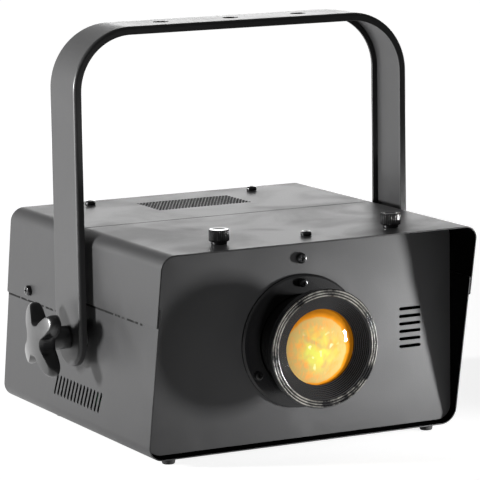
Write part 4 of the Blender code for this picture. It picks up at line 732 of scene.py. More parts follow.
def piece(name, shells, material, body, replaced):
    """One object of one or more shells, on a body, in place of CAD nodes."""
    offset = np.cumsum([0] + [len(shell[0]) for shell in shells])
    points, normals, masks = (np.concatenate([shell[i] for shell in shells]) for i in range(3))
    faces = np.concatenate([shell[3] + offset[i] for i, shell in enumerate(shells)])
    mesh = bpy.data.meshes.new(name)
    mesh.vertices.add(len(points))
    mesh.vertices.foreach_set("co", points.astype(np.float32).ravel())
    mesh.loops.add(faces.size)
    mesh.loops.foreach_set("vertex_index", faces.astype(np.int32).ravel())
    mesh.polygons.add(len(faces))
    mesh.polygons.foreach_set("loop_start", np.arange(0, faces.size, 3, dtype=np.int32))
    mesh.update(calc_edges=True)
    if mesh.validate():
        raise RuntimeError(name + ": the mesh had broken faces")
    edge = mesh.attributes.new("edge", "FLOAT", "POINT")
    edge.data.foreach_set("value", masks.astype(np.float32))
    normals = normals / np.maximum(np.linalg.norm(normals, axis=1, keepdims=True), 1e-12)
    mesh.shade_smooth()
    mesh.normals_split_custom_set_from_vertices(normals.astype(np.float32))
    mesh.materials.append(finish(material))
    obj = bpy.data.objects.new(name, mesh)
    bpy.context.scene.collection.objects.link(obj)
    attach(obj, body)
    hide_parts(*replaced)


# materials


def feed(tree, made, inputs):
    """Sets a node's inputs, each to a value, to a colour or to another node's output."""
    for label, value in inputs.items():
        socket = made.inputs[label]
        if isinstance(value, bpy.types.NodeSocket):
            tree.links.new(value, socket)
        else:
            socket.default_value = (*tuple(value)[:3], 1) if socket.type == "RGBA" else value


def node(tree, kind, inputs=None, **settings):
    """A new node with its settings and inputs."""
    made = tree.nodes.new("ShaderNode" + kind)
    for label, value in settings.items():
        setattr(made, label, value)
    feed(tree, made, inputs or {})
    return made


def object_place(tree):
    """Object coordinates."""
    return node(tree, "TexCoord").outputs["Object"]


def axes(tree, vector):
    """A vector's three numbers, by the names X, Y and Z."""
    return node(tree, "SeparateXYZ", {0: vector}).outputs


def noise(tree, scale, detail=2.0, roughness=0.5, distortion=0.0, vector=None):
    """A noise's value, on Object coordinates if no vector is given."""
    vector = object_place(tree) if vector is None else vector
    inputs = {"Vector": vector, "Scale": scale, "Detail": detail}
    inputs |= {"Roughness": roughness, "Distortion": distortion}
    return node(tree, "TexNoise", inputs).outputs["Fac"]


def calculate(tree, operation, *values, clamp=False):
    """A Math node whose inputs are numbers or other nodes' outputs."""
    return node(tree, "Math", dict(enumerate(values)), operation=operation, use_clamp=clamp).outputs[0]


def above(tree, value, level, gain):
    """A mask: how far a value lies above a level, times a gain, held between 0 and 1."""
    return calculate(tree, "MULTIPLY", calculate(tree, "SUBTRACT", value, level), gain, clamp=True)


def blend(tree, factor, first, second):
    """A mix of two colours, each a colour or another node's output."""
    made = node(tree, "Mix", data_type="RGBA")
    low, high = (i for i, socket in enumerate(made.inputs) if socket.type == "RGBA")
    feed(tree, made, {"Factor": factor, low: first, high: second})
    return next(socket for socket in made.outputs if socket.type == "RGBA")


def bump(tree, height, distance, strength=1.0):
    """The normal that a height gives."""
    inputs = {"Strength": strength, "Distance": distance, "Height": height}
    return node(tree, "Bump", inputs).outputs["Normal"]


def shared(tree, name, defaults, build, inputs):
    """The outputs of a group node; its group is made on its first use.

    build(group, its inputs) returns the group's outputs, each by its name.
    """
    group = bpy.data.node_groups.get(name)
    if group is None:
        group = bpy.data.node_groups.new(name, "ShaderNodeTree")
        for label, default in defaults.items():
            socket = group.interface.new_socket(label, in_out="INPUT", socket_type="NodeSocketFloat")
            socket.default_value = default
        results = build(group, group.nodes.new("NodeGroupInput").outputs)
        for label in results:
            group.interface.new_socket(label, in_out="OUTPUT", socket_type="NodeSocketFloat")
        feed(group, group.nodes.new("NodeGroupOutput"), results)
    return node(tree, "Group", inputs, node_tree=group).outputs


def grain(tree, given):
    """Fine grain of a coat or a moulding: two noises of unlike size, added as a height."""
    fine = noise(tree, given["Scale"], 1.0)
    broad = noise(tree, calculate(tree, "MULTIPLY", given["Scale"], 0.27))
    return {"Height": calculate(tree, "ADD", fine, calculate(tree, "MULTIPLY", broad, given["Coarse"]))}


def marks(tree, given):
    """Handling marks: cloudy smears, fine dust and rubbed edges, as masks from 0 to 1."""
    rub = above(tree, noise(tree, 60.0, 3.0, 0.7), 0.40, 5.0)
    masks = {
        "Smear": above(tree, noise(tree, 14.0, 4.0, 0.6, 0.8), 0.42, 4.0),
        "Dust": above(tree, noise(tree, 1600.0, 2.0, 0.7), 0.66, 12.0),
        "Wear": calculate(tree, "MULTIPLY", rub, given["Edge"]),
    }
    return {label: calculate(tree, "MULTIPLY", mask, given[label]) for label, mask in masks.items()}


def principled(name, inputs):
    """A new material, its node tree and its Principled shader with the given inputs."""
    material = bpy.data.materials.new(name)
    material.use_nodes = True
    tree = material.node_tree
    shader = tree.nodes["Principled BSDF"]
    feed(tree, shader, inputs)
    return material, tree, shader


def base_finish(name, roughness, paint=None, bright="rubbed", metallic=0.0, scale=900.0, relief=0.05,
                smear=0.3, dust=0.1, wear=0.3, coat=0.0, coat_roughness=0.1):
    """A coat or plastic: its colour, cloudy roughness, fine grain, specks and rubbed edges.

    paint and bright name colours of the finishes; relief is the grain's height in millimetres.
    """
    material, tree, shader = principled(
        "finish_" + name, {"Metallic": metallic, "Coat Weight": coat, "Coat Roughness": coat_roughness}
    )
    edge = node(tree, "Attribute", attribute_name="edge").outputs["Fac"]
    masks = shared(
        tree, "handling marks", {"Smear": 0.3, "Dust": 0.1, "Edge": 0.0, "Wear": 0.3}, marks,
        {"Smear": smear, "Dust": dust, "Edge": edge, "Wear": wear},
    )
    height = shared(tree, "coat grain", {"Scale": 900.0, "Coarse": 0.35}, grain, {"Scale": scale})["Height"]
    paint = tuple(getattr(light("finishes"), paint or name))
    smeared = tuple(min(1.0, c * 1.35 + 0.01) for c in paint)
    dusty = tuple(min(1.0, c + 0.12) for c in paint)
    tint = blend(tree, masks["Smear"], paint, smeared)
    tint = blend(tree, masks["Dust"], tint, dusty)
    tint = blend(tree, masks["Wear"], tint, getattr(light("finishes"), bright))
    feed(tree, shader, {
        "Base Color": tint,
        "Roughness": calculate(tree, "MULTIPLY_ADD", masks["Smear"], 0.35, roughness),
        "Normal": bump(tree, height, relief / 1000),
    })
    return material


def amber_glass(name):
    """Front lens: amber glass, its patches and strokes behind a clear hard surface; it glows in its own
    colours, which is painted light.
    """
    colours, lens = light("finishes", "lens")
    # Painted light: the Emission gives the glass a glow of its own, though it is no lamp.
    material, tree, shader = principled("finish_" + name, {
        "Roughness": 0.4, "Specular IOR Level": 0.0, "Coat Weight": 0.8, "Coat Roughness": 0.04,
        "Emission Strength": 0.31,
    })
    centre = panel_point(0, 0, lens.height)
    place = object_place(tree)

    def mapped(x, z, tall=1.0):
        """Coordinates across the glass from its axis, moved by x and z and scaled upwards."""
        start = (x - centre[0], 0, tall * (z - centre[2]))
        inputs = {"Vector": place, "Location": start, "Scale": (1, 0, tall)}
        return node(tree, "Mapping", inputs).outputs["Vector"]

    face = mapped(0, 0)
    soft = noise(tree, 75.0, 2.0, 0.5, 0.5, face)
    patch = noise(tree, 130.0, 2.0, 0.5, 0.4, face)
    painted_glint = noise(tree, 210.0, 0.0, 0.5, 0.2, face)
    stroke = noise(tree, 420.0, 1.0, vector=mapped(0, 0, 0.28))
    # The pale middle, off the axis, and the orange and deep border are painted light and shade of the lit
    # inside seen through the glass; the border wobbles with the soft noise.
    reach = node(tree, "VectorMath", {0: mapped(0.0044, 0.0020)}, operation="LENGTH").outputs["Value"]
    wobble = calculate(tree, "MULTIPLY_ADD", soft, 0.0040, -0.0020)
    zone = calculate(tree, "DIVIDE", calculate(tree, "ADD", reach, wobble), lens.view)
    ramp = node(tree, "ValToRGB", {"Fac": zone})
    stops = ramp.color_ramp.elements
    stops[0].position, stops[0].color = 0.0, (*colours.glass_pale, 1)
    stops[1].position, stops[1].color = 0.850, (*colours.glass_pale, 1)
    for position, tone in ((0.885, colours.glass_orange), (1.0, colours.glass_deep)):
        stops.new(position).color = (*tone, 1)
    inside = calculate(tree, "SUBTRACT", 1.0, above(tree, zone, 0.70, 5.0))
    middle = calculate(tree, "SUBTRACT", 1.0, above(tree, zone, 0.30, 2.5))
    tone = ramp.outputs["Color"]
    for texture, level, gain, within, other in (
        (patch, 0.44, 4.0, inside, colours.glass_blush),
        (stroke, 0.52, 4.0, inside, colours.glass_blush),
        (soft, 0.40, 5.0, middle, colours.glass_yellow),
        # Painted glints: bright flecks in the middle of the glass.
        (painted_glint, 0.67, 5.0, middle, colours.glass_spark),
    ):
        mask = calculate(tree, "MULTIPLY", above(tree, texture, level, gain), within)
        tone = blend(tree, mask, tone, other)
    # The same colours feed the painted glow.
    feed(tree, shader, {"Base Color": tone, "Emission Color": tone, "Normal": bump(tree, soft, 0.0005, 0.3)})
    return material


def fed(shader, label):
    """What already feeds a shader's input."""
    return shader.inputs[label].links[0].from_socket


def paint_inside_shade(material):
    """Paints shade: the faces that look towards the middle of the case get a near-black matt colour, standing
    for the shade inside the hood.
    """
    tree = material.node_tree
    shader = tree.nodes["Principled BSDF"]
    place = node(tree, "TexCoord").outputs
    middle = (0, 0, -light("case").height / 2)
    out = node(tree, "VectorMath", {0: place["Object"], 1: (1, 0, 1), 2: middle}, operation="MULTIPLY_ADD")
    facing_out = node(
        tree, "VectorMath", {0: out.outputs["Vector"], 1: place["Normal"]}, operation="DOT_PRODUCT"
    ).outputs["Value"]
    # Painted shade: the inner faces take the near-black colour and lose their specular.
    inner = calculate(tree, "MULTIPLY", facing_out, -30.0, clamp=True)
    feed(tree, shader, {
        "Base Color": blend(tree, inner, fed(shader, "Base Color"), light("finishes").inside),
        "Specular IOR Level": calculate(tree, "MULTIPLY_ADD", inner, -0.5, 0.5),
    })


def paint_seam_shade(material):
    """Paints shade: a dark broken line on the tray just under the covers' lower edges, standing for the shade
    in the gap there.

    The line is a band of Object Z under each skirt, for the front cover's stretch and the rear's.
    """
    case = light("case")
    tree = material.node_tree
    shader = tree.nodes["Principled BSDF"]
    place = axes(tree, object_place(tree))
    depth, height = place["Y"], place["Z"]
    total = None
    for skirt, start, end in (
        (case.front_skirt, 0.0, case.seam),
        (case.rear_skirt, case.seam, case.back_low),
    ):
        low, high = panel_point(0, start, skirt - case.seam_shade_height), panel_point(0, end, skirt)
        mask = above(tree, height, low[2], 4000.0)
        mask = calculate(tree, "MULTIPLY", mask, above(tree, depth, low[1], 1000.0))
        before_end = above(tree, calculate(tree, "MULTIPLY", depth, -1), -high[1], 1000.0)
        mask = calculate(tree, "MULTIPLY", mask, before_end)
        total = mask if total is None else calculate(tree, "MAXIMUM", total, mask)
    total = calculate(tree, "MULTIPLY", total, above(tree, noise(tree, 160.0, 1.0), 0.30, 8.0))
    # Painted shade: in the band the tray takes the seam colour and a rough coat.
    feed(tree, shader, {
        "Base Color": blend(tree, total, fed(shader, "Base Color"), light("finishes").seam),
        "Roughness": calculate(tree, "MAXIMUM", fed(shader, "Roughness"), total),
    })


# What each finish gives base_finish; the colour has the finish's own name if none is given.
CASE_LOOK = dict(paint="case_paint", roughness=0.40, smear=0.22, wear=0.15)
FINISHES = {
    "case_paint": CASE_LOOK,
    "tray_paint": CASE_LOOK,
    "yoke_paint": dict(roughness=0.38, relief=0.04, smear=0.20, wear=0.06, coat=0.15, coat_roughness=0.18),
    "black_plastic": dict(roughness=0.24, relief=0.012, smear=0.10, dust=0.04, wear=0.0, coat=0.4),
    # The crests of the barrel's rings are painted light grey in patches, which is read from the edge mask.
    "rim_plastic": dict(paint="black_plastic", roughness=0.24, relief=0.008, smear=0.08, dust=0.02, wear=1.0,
                        bright="rim_plastic", coat=0.35, coat_roughness=0.22),
    "knob_plastic": dict(roughness=0.30, relief=0.015, smear=0.15, dust=0.05, wear=0.0, coat=0.7,
                         coat_roughness=0.16),
    "black_steel": dict(roughness=0.28, metallic=0.9, relief=0.01, smear=0.25, dust=0.0, wear=0.5, coat=1.0,
                        coat_roughness=0.08),
    "steel": dict(roughness=0.24, metallic=1.0, scale=1500.0, relief=0.02, dust=0.0),
    "zinc_plate": dict(roughness=0.38, metallic=1.0, scale=600.0, relief=0.04),
    "aluminium": dict(roughness=0.34, metallic=1.0, scale=1200.0, relief=0.03),
    "ripple_glass": dict(roughness=0.08, scale=120.0, relief=1.5, dust=0.0, coat=1.0),
    "foot_rubber": dict(roughness=0.70, relief=0.06, dust=0.3),
    "circuit_board": dict(roughness=0.35, scale=700.0, dust=0.15, coat=0.4),
    "lamp_white": dict(roughness=0.40, relief=0.03),
    "display_black": dict(roughness=0.08, relief=0.004, smear=0.15, dust=0.05, coat=1.0, coat_roughness=0.02),
    "colour_disc": dict(roughness=0.20, metallic=0.6, scale=300.0, relief=0.02, dust=0.0),
}
# Painted shade: every case sheet turns near black on its inner faces, and the tray gets a dark line under the
# skirts.
CHANGES = {"case_paint": [paint_inside_shade], "tray_paint": [paint_inside_shade, paint_seam_shade]}


def finish(name):
    """The material of a finish, made on its first use."""
    material = bpy.data.materials.get("finish_" + name)
    if material is None:
        material = amber_glass(name) if name == "glass" else base_finish(name, **FINISHES[name])
        for change in CHANGES.get(name, ()):
            change(material)
    return material


# pieces


def case_sheet(name, section, shape, holes, material="case_paint", hole_levels=None):
    """A sheet of the case, cut and folded, in place of the node of its name."""
    case = light("case")
    outline, folds = shape
    shell = cut_sheet(outline, holes, folds, section, cut_edge(case.sheet, case.edge), hole_levels)
    piece(name + "_sheet", [shell], material, "case", [name])


def ribbon(section, low_edge, high_edge):
    """Outline of a trough between two edges, each a function of the height, and its fold lines."""
    stations = np.concatenate(([0], section.lines, [section.whole]))
    heights = np.interp(stations, section.lengths, section.points[:, 2]) - TRAY_LOW[2]
    lower, upper = (pairs(stations, edge(heights)) for edge in (low_edge, high_edge))
    number = len(stations)
    radii = np.zeros(2 * number)
    radii[[0, number - 1, number, -1]] = light("case").corner
    outline, starts = soften(np.concatenate((lower, upper[::-1])), radii)
    inner = np.arange(1, number - 1)
    return outline, np.stack((starts[inner], starts[2 * number - 1 - inner]), 1)


def covers():
    """Both folded covers: their flat outlines follow the case's slanted front and back edges."""
    case, small = light("case", "fasteners")
    screw = small.shank + case.gap
    front, rear = (
        trough(panel_point(-case.width / 2, 0, skirt), case.height - case.top_bend - skirt, case.top_bend,
               2 * (case.width / 2 - case.top_bend), 90)
        for skirt in (case.front_skirt, case.rear_skirt)
    )
    middle = front.whole / 2
    holes = [
        circles(pairs(BOTH * small.side_x + middle, small.top_y), small.hand_shank + case.gap, 24),
        circles((middle, small.top_y), screw, 20),
    ]
    shape = ribbon(front, front_edge, lambda z: case.seam - case.seam_gap / 2)
    case_sheet("front_hood_cover", front, shape, holes)
    middle = rear.whole / 2
    drop = small.side_z - case.rear_skirt
    holes = [
        circles(vent_centres() + (middle, 0), case.vent_hole, 12),
        circles(pairs(BOTH * small.rear_x + middle, back_edge(case.height) - small.rear_setback), screw, 16),
        circles(pairs((drop, rear.whole - drop), small.side_y), screw, 16),
    ]
    shape = ribbon(rear, lambda z: case.seam + case.seam_gap / 2, back_edge)
    case_sheet("rear_top_cover", rear, shape, holes, hole_levels=cut_edge(case.sheet, case.edge / 2, 1))


def vent_centres():
    """Holes in rows, every other row shifted by half a pitch and one hole shorter."""
    case = light("case")
    row, column = np.mgrid[: case.vent_rows, : case.vent_columns]
    odd = row % 2
    x = case.vent_x + (column - (case.vent_columns - 1) / 2 + odd / 2) * case.vent_pitch
    y = case.vent_y + (row - (case.vent_rows - 1) / 2) * case.vent_row_pitch
    keep = (odd == 0) | (column < case.vent_columns - 1)
    return pairs(x[keep], y[keep])


def base_tray():
    """Folded tray: floor and both louvred walls."""
    case, small, yoke = light("case", "fasteners", "carriage")
    half = case.width / 2 - case.sheet - case.gap
    start = panel_point(half, 0, case.tray_wall)
    bend = case.tray_bend
    section = trough(start, case.tray_wall - bend, bend, 2 * (half - bend), -90)

    def on_walls(z, y):
        """Places (height, depth) on the right wall and on the left one, in the flat sheet."""
        return np.concatenate((pairs(case.tray_wall - z, y), pairs(section.whole - case.tray_wall + z, y)))

    y = case.louvre_first + case.louvre_pitch * np.arange(case.louvres)
    feet = on_walls(case.louvre_low, y)
    heads = on_walls(case.louvre_low + case.louvre_rise, y - case.louvre_lean)
    holes = [
        slot_loops(feet, heads, case.louvre_width),
        circles(on_walls(yoke.pivot_z, yoke.pivot_y), case.pivot_hole + case.gap, 32),
        circles(on_walls(small.side_z, small.side_y), small.shank + case.gap, 16),
    ]
    case_sheet("base_tray", section, ribbon(section, front_edge, back_edge), holes, "tray_paint")


def lipped_outline(section, high, rise):
    """Outline of a panel of a height with a narrower lip, and its fold lines.

    The lip's bend starts at rise; beside it the panel is cut free and stays flat.
    """
    case = light("case")
    half = case.width / 2 - 2 * (case.sheet + case.gap)
    lip = half - case.top_bend - case.sheet
    cut = lip + case.notch
    section.flat_beyond = lip + case.notch / 2
    side = [(0, half), (high, half), (high, cut), (rise - case.notch, cut), (rise - case.notch, lip)]
    bend_start = len(side)
    side = np.array(side + [(s, lip) for s in section.lines] + [(section.whole, lip)])
    radii = [case.tray_bend - case.sheet, case.top_bend, 0.0, 0.0002, 0.0002]
    radii += [0.0] * len(section.lines) + [case.corner]
    outline, starts = soften(np.concatenate((side * (1, -1), side[::-1])), radii + radii[::-1], 8)
    along = bend_start + np.arange(len(section.lines))
    return outline, np.stack((starts[along], starts[2 * len(side) - 1 - along]), 1)


def flange_screws():
    """Places x and z of the flange's screws: the top, the left and the right one."""
    lens = light("lens")
    turn = np.radians((90, 210, 330))
    return lens.screw_circle * np.cos(turn), lens.height + lens.screw_circle * np.sin(turn)


def front_panel():
    """Front panel with its lens hole and slots, and the lip folded forward under the hood."""
    case, lens, small = light("case", "lens", "fasteners")
    high = case.height - case.sheet - case.gap
    rise = high - case.gap - case.sheet - case.panel_bend - case.panel_low
    moves = [(rise, 0), (case.panel_bend, 90), (case.panel_lip - case.panel_bend, 0)]
    section = folded(panel_point(0, 0, case.panel_low), Y, Z, 90, moves, steps=6)

    def at(x, z):
        """Places on the panel, in the flat sheet."""
        return pairs(z - case.panel_low, -x)

    z = case.slot_low + case.slot_pitch * np.arange(case.slots)
    hole = small.shank + case.gap
    top = section.whole - (case.panel_lip + small.top_y)
    holes = [
        slot_loops(at(case.slot_left, z), at(case.slot_left + case.slot_length, z), case.slot_width),
        circles(at(0, lens.height), lens.barrel + lens.running + lens.sleeve_wall + case.gap, 96),
        circles(at(*flange_screws()), hole, 16),
        circles(at(0, small.panel_z), hole, 16),
        circles(pairs(top, -BOTH * small.side_x), small.hand_shank + case.gap, 20),
        circles((top, 0), hole, 16),
    ]
    case_sheet("front_panel", section, lipped_outline(section, high - case.panel_low, rise), holes)


def rear_top():
    """Where the rear panel's upper edge lies along its slope."""
    case = light("case")
    return (case.height - case.sheet - case.gap) / rear_frame(0, 0)[2][2]


def rear_panel():
    """Rear panel with an opening for each fitting, and the lip folded forward under the cover."""
    case, rear, small = light("case", "rear", "fasteners")
    place = rear_frame(0, rear.low)
    origin, up = place[0], place[2]
    under = case.height - case.sheet
    heading = np.arctan2(up[2], up[1])
    rise = (under - 2 * case.gap - rear.bend * (1 + np.cos(heading))) / up[2] - rear.low
    bent_y = origin[1] + rise * up[1] - rear.bend * np.sin(heading)
    end_y = panel_point(0, back_edge(under) - rear.recess - case.sheet / 2 - rear.lip, 0)[1]
    moves = [(rise, 0), (rear.bend, 180 - np.degrees(heading)), (bent_y - end_y, 0)]
    section = folded(origin, Y, Z, np.degrees(heading), moves, -1, 8)

    def at(u, v):
        """Places on the panel, in the flat sheet."""
        return pairs(v - rear.low, -u)

    def window(u, v, tall, wide, radius):
        """An opening with rounded corners, wider than its fitting by the gap all round."""
        return box_loop(at(u, v), (tall + 2 * case.gap, wide + 2 * case.gap), radius)[None]

    number = int(rear.fan_bore * 2 / rear.fan_pitch)
    across = (np.arange(number) - (number - 1) / 2) * rear.fan_pitch
    reach = np.sqrt(rear.fan_bore**2 - across**2)
    feet, heads = (at(rear.fan_u + across, rear.fan_v + way * reach) for way in BOTH)
    sockets = rear.data_u + rear.data_spacing * np.arange(2)
    screw_y = panel_point(0, back_edge(case.height) - small.rear_setback, 0)[1]
    holes = [
        slot_loops(feet, heads, rear.fan_slot, 8),
        window(rear.inlet_u, rear.inlet_v, rear.inlet_tall, rear.inlet_width, 0.0006),
        window(rear.display_u, rear.display_v, rear.display_tall, rear.display_width, 0.0003),
        circles(at(sockets, rear.data_v), rear.data + case.gap, 48),
        circles(at(rear.inlet_u, rear.fuse_v), rear.fuse + case.gap, 32),
        circles(at(button_row(), rear.button_v), rear.button + case.gap, 28),
        circles(at(BOTH * rear.eye, rear_top() - rear.eye_drop), rear.eye_wire + case.gap, 20),
        circles(pairs(section.whole - (screw_y - end_y), BOTH * small.rear_x), small.shank + case.gap, 16),
    ]
    case_sheet("rear_panel", section, lipped_outline(section, rear_top() - rear.low, rise), holes)


def safety_eye():
    """The bow of wire that stands out of the rear panel, its two ends inside."""
    rear = light("rear")
    bow = arc((0, rear.eye_stand), rear.eye, 0, 180, 32)
    straight = np.array(((rear.eye, -rear.eye_root), (rear.eye, -rear.eye_root / 2)))
    path = np.concatenate((straight, bow, straight[::-1] * (-1, 1)))
    origin, right, _, out = rear_frame(0, rear_top() - rear.eye_drop)
    path = origin + path[:, :1] * right + path[:, 1:] * out
    piece("safety_eye_wire", [swept(path, rear.eye_wire, 24)], "steel", "case", ["safety_eye"])


def button_row():
    """Places of the menu buttons across the rear panel."""
    rear = light("rear")
    return rear.display_u + (np.arange(rear.buttons) - (rear.buttons - 1) / 2) * rear.button_pitch


def menu_buttons():
    """Menu buttons with dished tops."""
    rear = light("rear")
    wide, proud, deep = rear.button, rear.button_proud, -rear.button_depth
    rim = wide * 0.78
    radius = np.linspace(0, rim, 8)
    dish = proud - rear.button_dish * (1 - (radius / rim) ** 2)
    side = rounded_profile([(rim, proud), (wide, proud), (wide, deep), (0, deep)], [0, 0.0005, 0.0003, 0])
    profile = np.concatenate((pairs(radius, dish), side[1:]))
    for i, u in enumerate(button_row()):
        label = "menu_button_%d" % (i + 1)
        shell = turned(profile, rear_frame(u, rear.button_v), 40)
        piece(label + "_cap", [shell], "knob_plastic", label, [label])


def fuse_cap():
    """Fuse cap with its coin slot, its ribbed side and the stem inside."""
    case, rear = light("case", "rear")
    base = 2 * case.gap + rear.fuse_flange
    top, wide = base + rear.fuse_cap_height, rear.fuse_cap
    stem, deep = rear.fuse_stem, -rear.fuse_stem_depth
    crown = np.linspace(0, wide * 0.80, 16)
    profile = rounded_profile(
        [
            (wide * 0.80, top), (wide * 0.90, top), (wide * 0.90, top - 0.0012), (wide * 0.95, base + 0.0012),
            (wide, base + 0.0012), (wide, base), (stem, base), (stem, deep), (0, deep),
        ],
        [0, 0.0004, 0, 0, 0.0003, 0.0002, 0, 0.0003, 0],
    )
    profile = np.concatenate((pairs(crown[:-1], top), profile))

    def shape(radius, height, turn):
        ribs = rear.fuse_rib * (0.5 + 0.5 * np.cos(rear.fuse_ribs * turn))
        on_side = (height < top - 0.0005) & (height > base + 0.0014) & (radius > wide * 0.85)
        across = np.clip(1.5 - np.abs(radius * np.cos(turn)) / rear.fuse_coin_half, 0, 1)
        slot = rear.fuse_coin * across * (height > top - 0.0001) * (radius < wide * 0.78)
        return radius - ribs * on_side, height - slot

    shell = turned(profile, rear_frame(rear.inlet_u, rear.fuse_v), 144, shape)
    piece("fuse_cap_moulding", [shell], "knob_plastic", "fuse_cap", ["fuse_cap"])


def rounded_profile(corners, radii, steps=4):
    """A profile of (radius, height) whose corners are softened, its ends kept."""
    corners = np.asarray(corners, float)
    radii = np.array(radii, float)
    radii[[0, -1]] = 0
    # A far point behind the axis closes the loop for the corner arithmetic and is dropped again.
    loop = np.concatenate((corners, [corners.mean(0) - (1.0, 0.0)]))
    points, starts = soften(loop, np.concatenate((radii, [0])), steps)
    return points[: starts[-1]]


def lens_place():
    """Local frame on the lens's axis, its origin in the front panel's face."""
    return facing("front", 0, 0, light("lens").height)


def lens_flange():
    """Flange with its bevelled face, and the sleeve that guides the barrel."""
    case, sizes = light("case", "lens")
    bore = sizes.barrel + sizes.running
    outer = bore + sizes.sleeve_wall
    wide, deep, bevel = sizes.flange, sizes.flange_depth, sizes.flange_bevel
    profile = rounded_profile(
        [
            (bore, 0.0), (bore, deep), (wide - 2 * bevel, deep), (wide, deep - bevel), (wide, case.gap),
            (outer, case.gap), (outer, -sizes.sleeve), (bore, -sizes.sleeve),
        ],
        [0, 0.0004, 0.0005, 0.0005, 0.0003, 0, 0.0003, 0],
    )
    piece("lens_flange_disc", [turned(profile, lens_place(), 128)], "black_plastic", "case", ["lens_flange"])


def focus_barrel():
    """Barrel with a ringed rim, fine steps down its inside and the seat of the glass."""
    case, sizes = light("case", "lens")
    sides = 144
    face, waves, rim = sizes.face, sizes.ridges, sizes.rim
    # The rim's face is a cosine of the radius: one wave per ring, the last at the rim's edge.
    radius = np.linspace(sizes.mouth, rim - sizes.rim_edge, 16 * waves + 1)
    phase = (radius - sizes.mouth) / (rim - sizes.rim_edge - sizes.mouth) * waves
    crest = 0.5 - 0.5 * np.cos(2 * pi * phase)
    rings = pairs(radius, face - sizes.ridge_depth * (1 - crest**0.7))
    seat = face - sizes.setback
    back = seat - sizes.glass_edge - case.gap - sizes.retainer - case.gap
    low, high, low_end = face - sizes.rim_depth, face - sizes.ridge_depth, seat + sizes.seat_lip
    tube, pocket = sizes.barrel - sizes.wall - sizes.shoulder, sizes.glass + case.gap
    outside = rounded_profile(
        [
            (rim - sizes.rim_edge, high), (rim, high - sizes.rim_edge), (rim, low),
            (sizes.barrel, low - (rim - sizes.barrel) / 3), (sizes.barrel, -sizes.inside),
            (tube, -sizes.inside), (tube, back), (pocket, back), (pocket, seat), (sizes.view, seat),
            (sizes.view, low_end),
        ],
        [0, 0.0002, 0.0008, 0.0012, 0.0004, 0.0004, 0, 0, 0, 0.0001, 0],
    )
    # Down the inside run square steps: a riser along the axis, then a tread across it.
    step = np.linspace(0, 1, sizes.baffles + 1)
    part = step[:-1, None] + np.array((0.06, 0.94)) / sizes.baffles
    across = np.concatenate((step[:-1, None] + np.zeros(2), part), 1).ravel()
    along = np.concatenate((part, step[1:, None] + np.zeros(2)), 1).ravel()
    steps = pairs(sizes.view + (sizes.mouth - sizes.view) * across, low_end + (high - low_end) * along)
    profile = np.concatenate((rings, outside[1:], steps))
    points, normals, _, faces = turned(profile, lens_place(), sides)
    # The crests go into the edge attribute, where the rim finish paints them light grey.
    edge_mask = np.repeat(np.concatenate((crest, np.zeros(len(profile) - len(crest)))), sides)
    shell = points, normals, edge_mask, faces
    piece("focus_barrel_tube", [shell], "rim_plastic", "focus_barrel", ["focus_barrel"])


def front_lens():
    """The glass: a dome over a plain disc."""
    case, sizes = light("case", "lens")
    seat = sizes.face - sizes.setback - case.gap
    turn = np.linspace(0, np.radians(60), 25)
    radius = (sizes.view - case.gap) * np.sin(turn) / np.sin(turn[-1])
    dome = seat + sizes.crown * (np.cos(turn) - np.cos(turn[-1])) / (1 - np.cos(turn[-1]))
    edge = [(sizes.glass, seat), (sizes.glass, seat - sizes.glass_edge), (0, seat - sizes.glass_edge)]
    profile = np.concatenate((pairs(radius, dome), edge))
    piece("front_lens_glass", [turned(profile, lens_place(), 96)], "glass", "focus_barrel", ["front_lens"])


def knurled(inner, ribs, depth, low, high):
    """Moves a turned piece's side in and out: the radius less a rounded wave of the turn."""

    def shape(radius, height, turn):
        wave = (0.5 + 0.5 * np.cos(ribs * turn)) ** 0.5
        on = (radius > inner) & (height > low) & (height < high)
        return radius - depth * wave * on, height

    return shape


def cross_recess(reach, width, depth, rim):
    """Sinks a cross into the top of a head: full depth on the two bars, none beyond them."""

    def shape(radius, height, turn):
        x, y = np.abs(radius * np.cos(turn)), np.abs(radius * np.sin(turn))
        bar = np.minimum(np.maximum(x - width / 2, y - reach), np.maximum(y - width / 2, x - reach))
        sink = np.clip(-bar / (width * 0.3) + 0.15, 0, 1)
        return radius, height - depth * sink * (sink * (3 - 2 * sink)) ** 0.2 * (height > rim)

    return shape


def pan_screw(name, place, head):
    """Pan-head screw with a cross recess: a domed head, its rounded side and the shank."""
    case, small = light("case", "fasteners")
    tall, seat, shank = small.head_height, case.gap, small.shank
    shoulder, chamfer = head * 0.72, 0.0002
    radius = np.linspace(0, shoulder, 22)
    dome = seat + tall * (1 - 0.16 * (radius / head) ** 2)
    rise = dome[-1] - seat
    turn = np.linspace(0, pi / 2, 8)
    side = pairs(shoulder + head * 0.28 * np.sin(turn), seat + rise * 0.42 + rise * 0.58 * np.cos(turn))
    rest = [
        (head, seat + chamfer), (head - chamfer, seat), (shank, seat), (shank, -small.reach),
        (0, -small.reach),
    ]
    profile = np.concatenate((pairs(radius, dome), side[1:], rest))
    shape = cross_recess(head * 0.52, head * 0.24, tall * 0.55, seat + tall * 0.6)
    piece(name + "_steel", [turned(profile, place, 72, shape, 0.35)], "black_steel", "case", [name])


def screws():
    """Every pan-head screw: three on the flange, one on the panel, and those of the covers."""
    case, lens, small = light("case", "lens", "fasteners")
    for name, x, z in zip(("top", "left", "right"), *flange_screws()):
        pan_screw("flange_screw_" + name, facing("front", x, -lens.flange_depth, z), lens.screw_head)
    pan_screw("panel_screw", facing("front", 0, 0, small.panel_z), small.head)
    pan_screw("hood_screw", facing("top", 0, small.top_y, case.height), small.head)
    rear = back_edge(case.height) - small.rear_setback
    for name, side in SIDES:
        place = facing("top", side * small.rear_x, rear, case.height)
        pan_screw("rear_cover_screw_" + name, place, small.head)
        place = facing(name, side * case.width / 2, small.side_y, small.side_z)
        pan_screw("side_cover_screw_" + name, place, small.head)


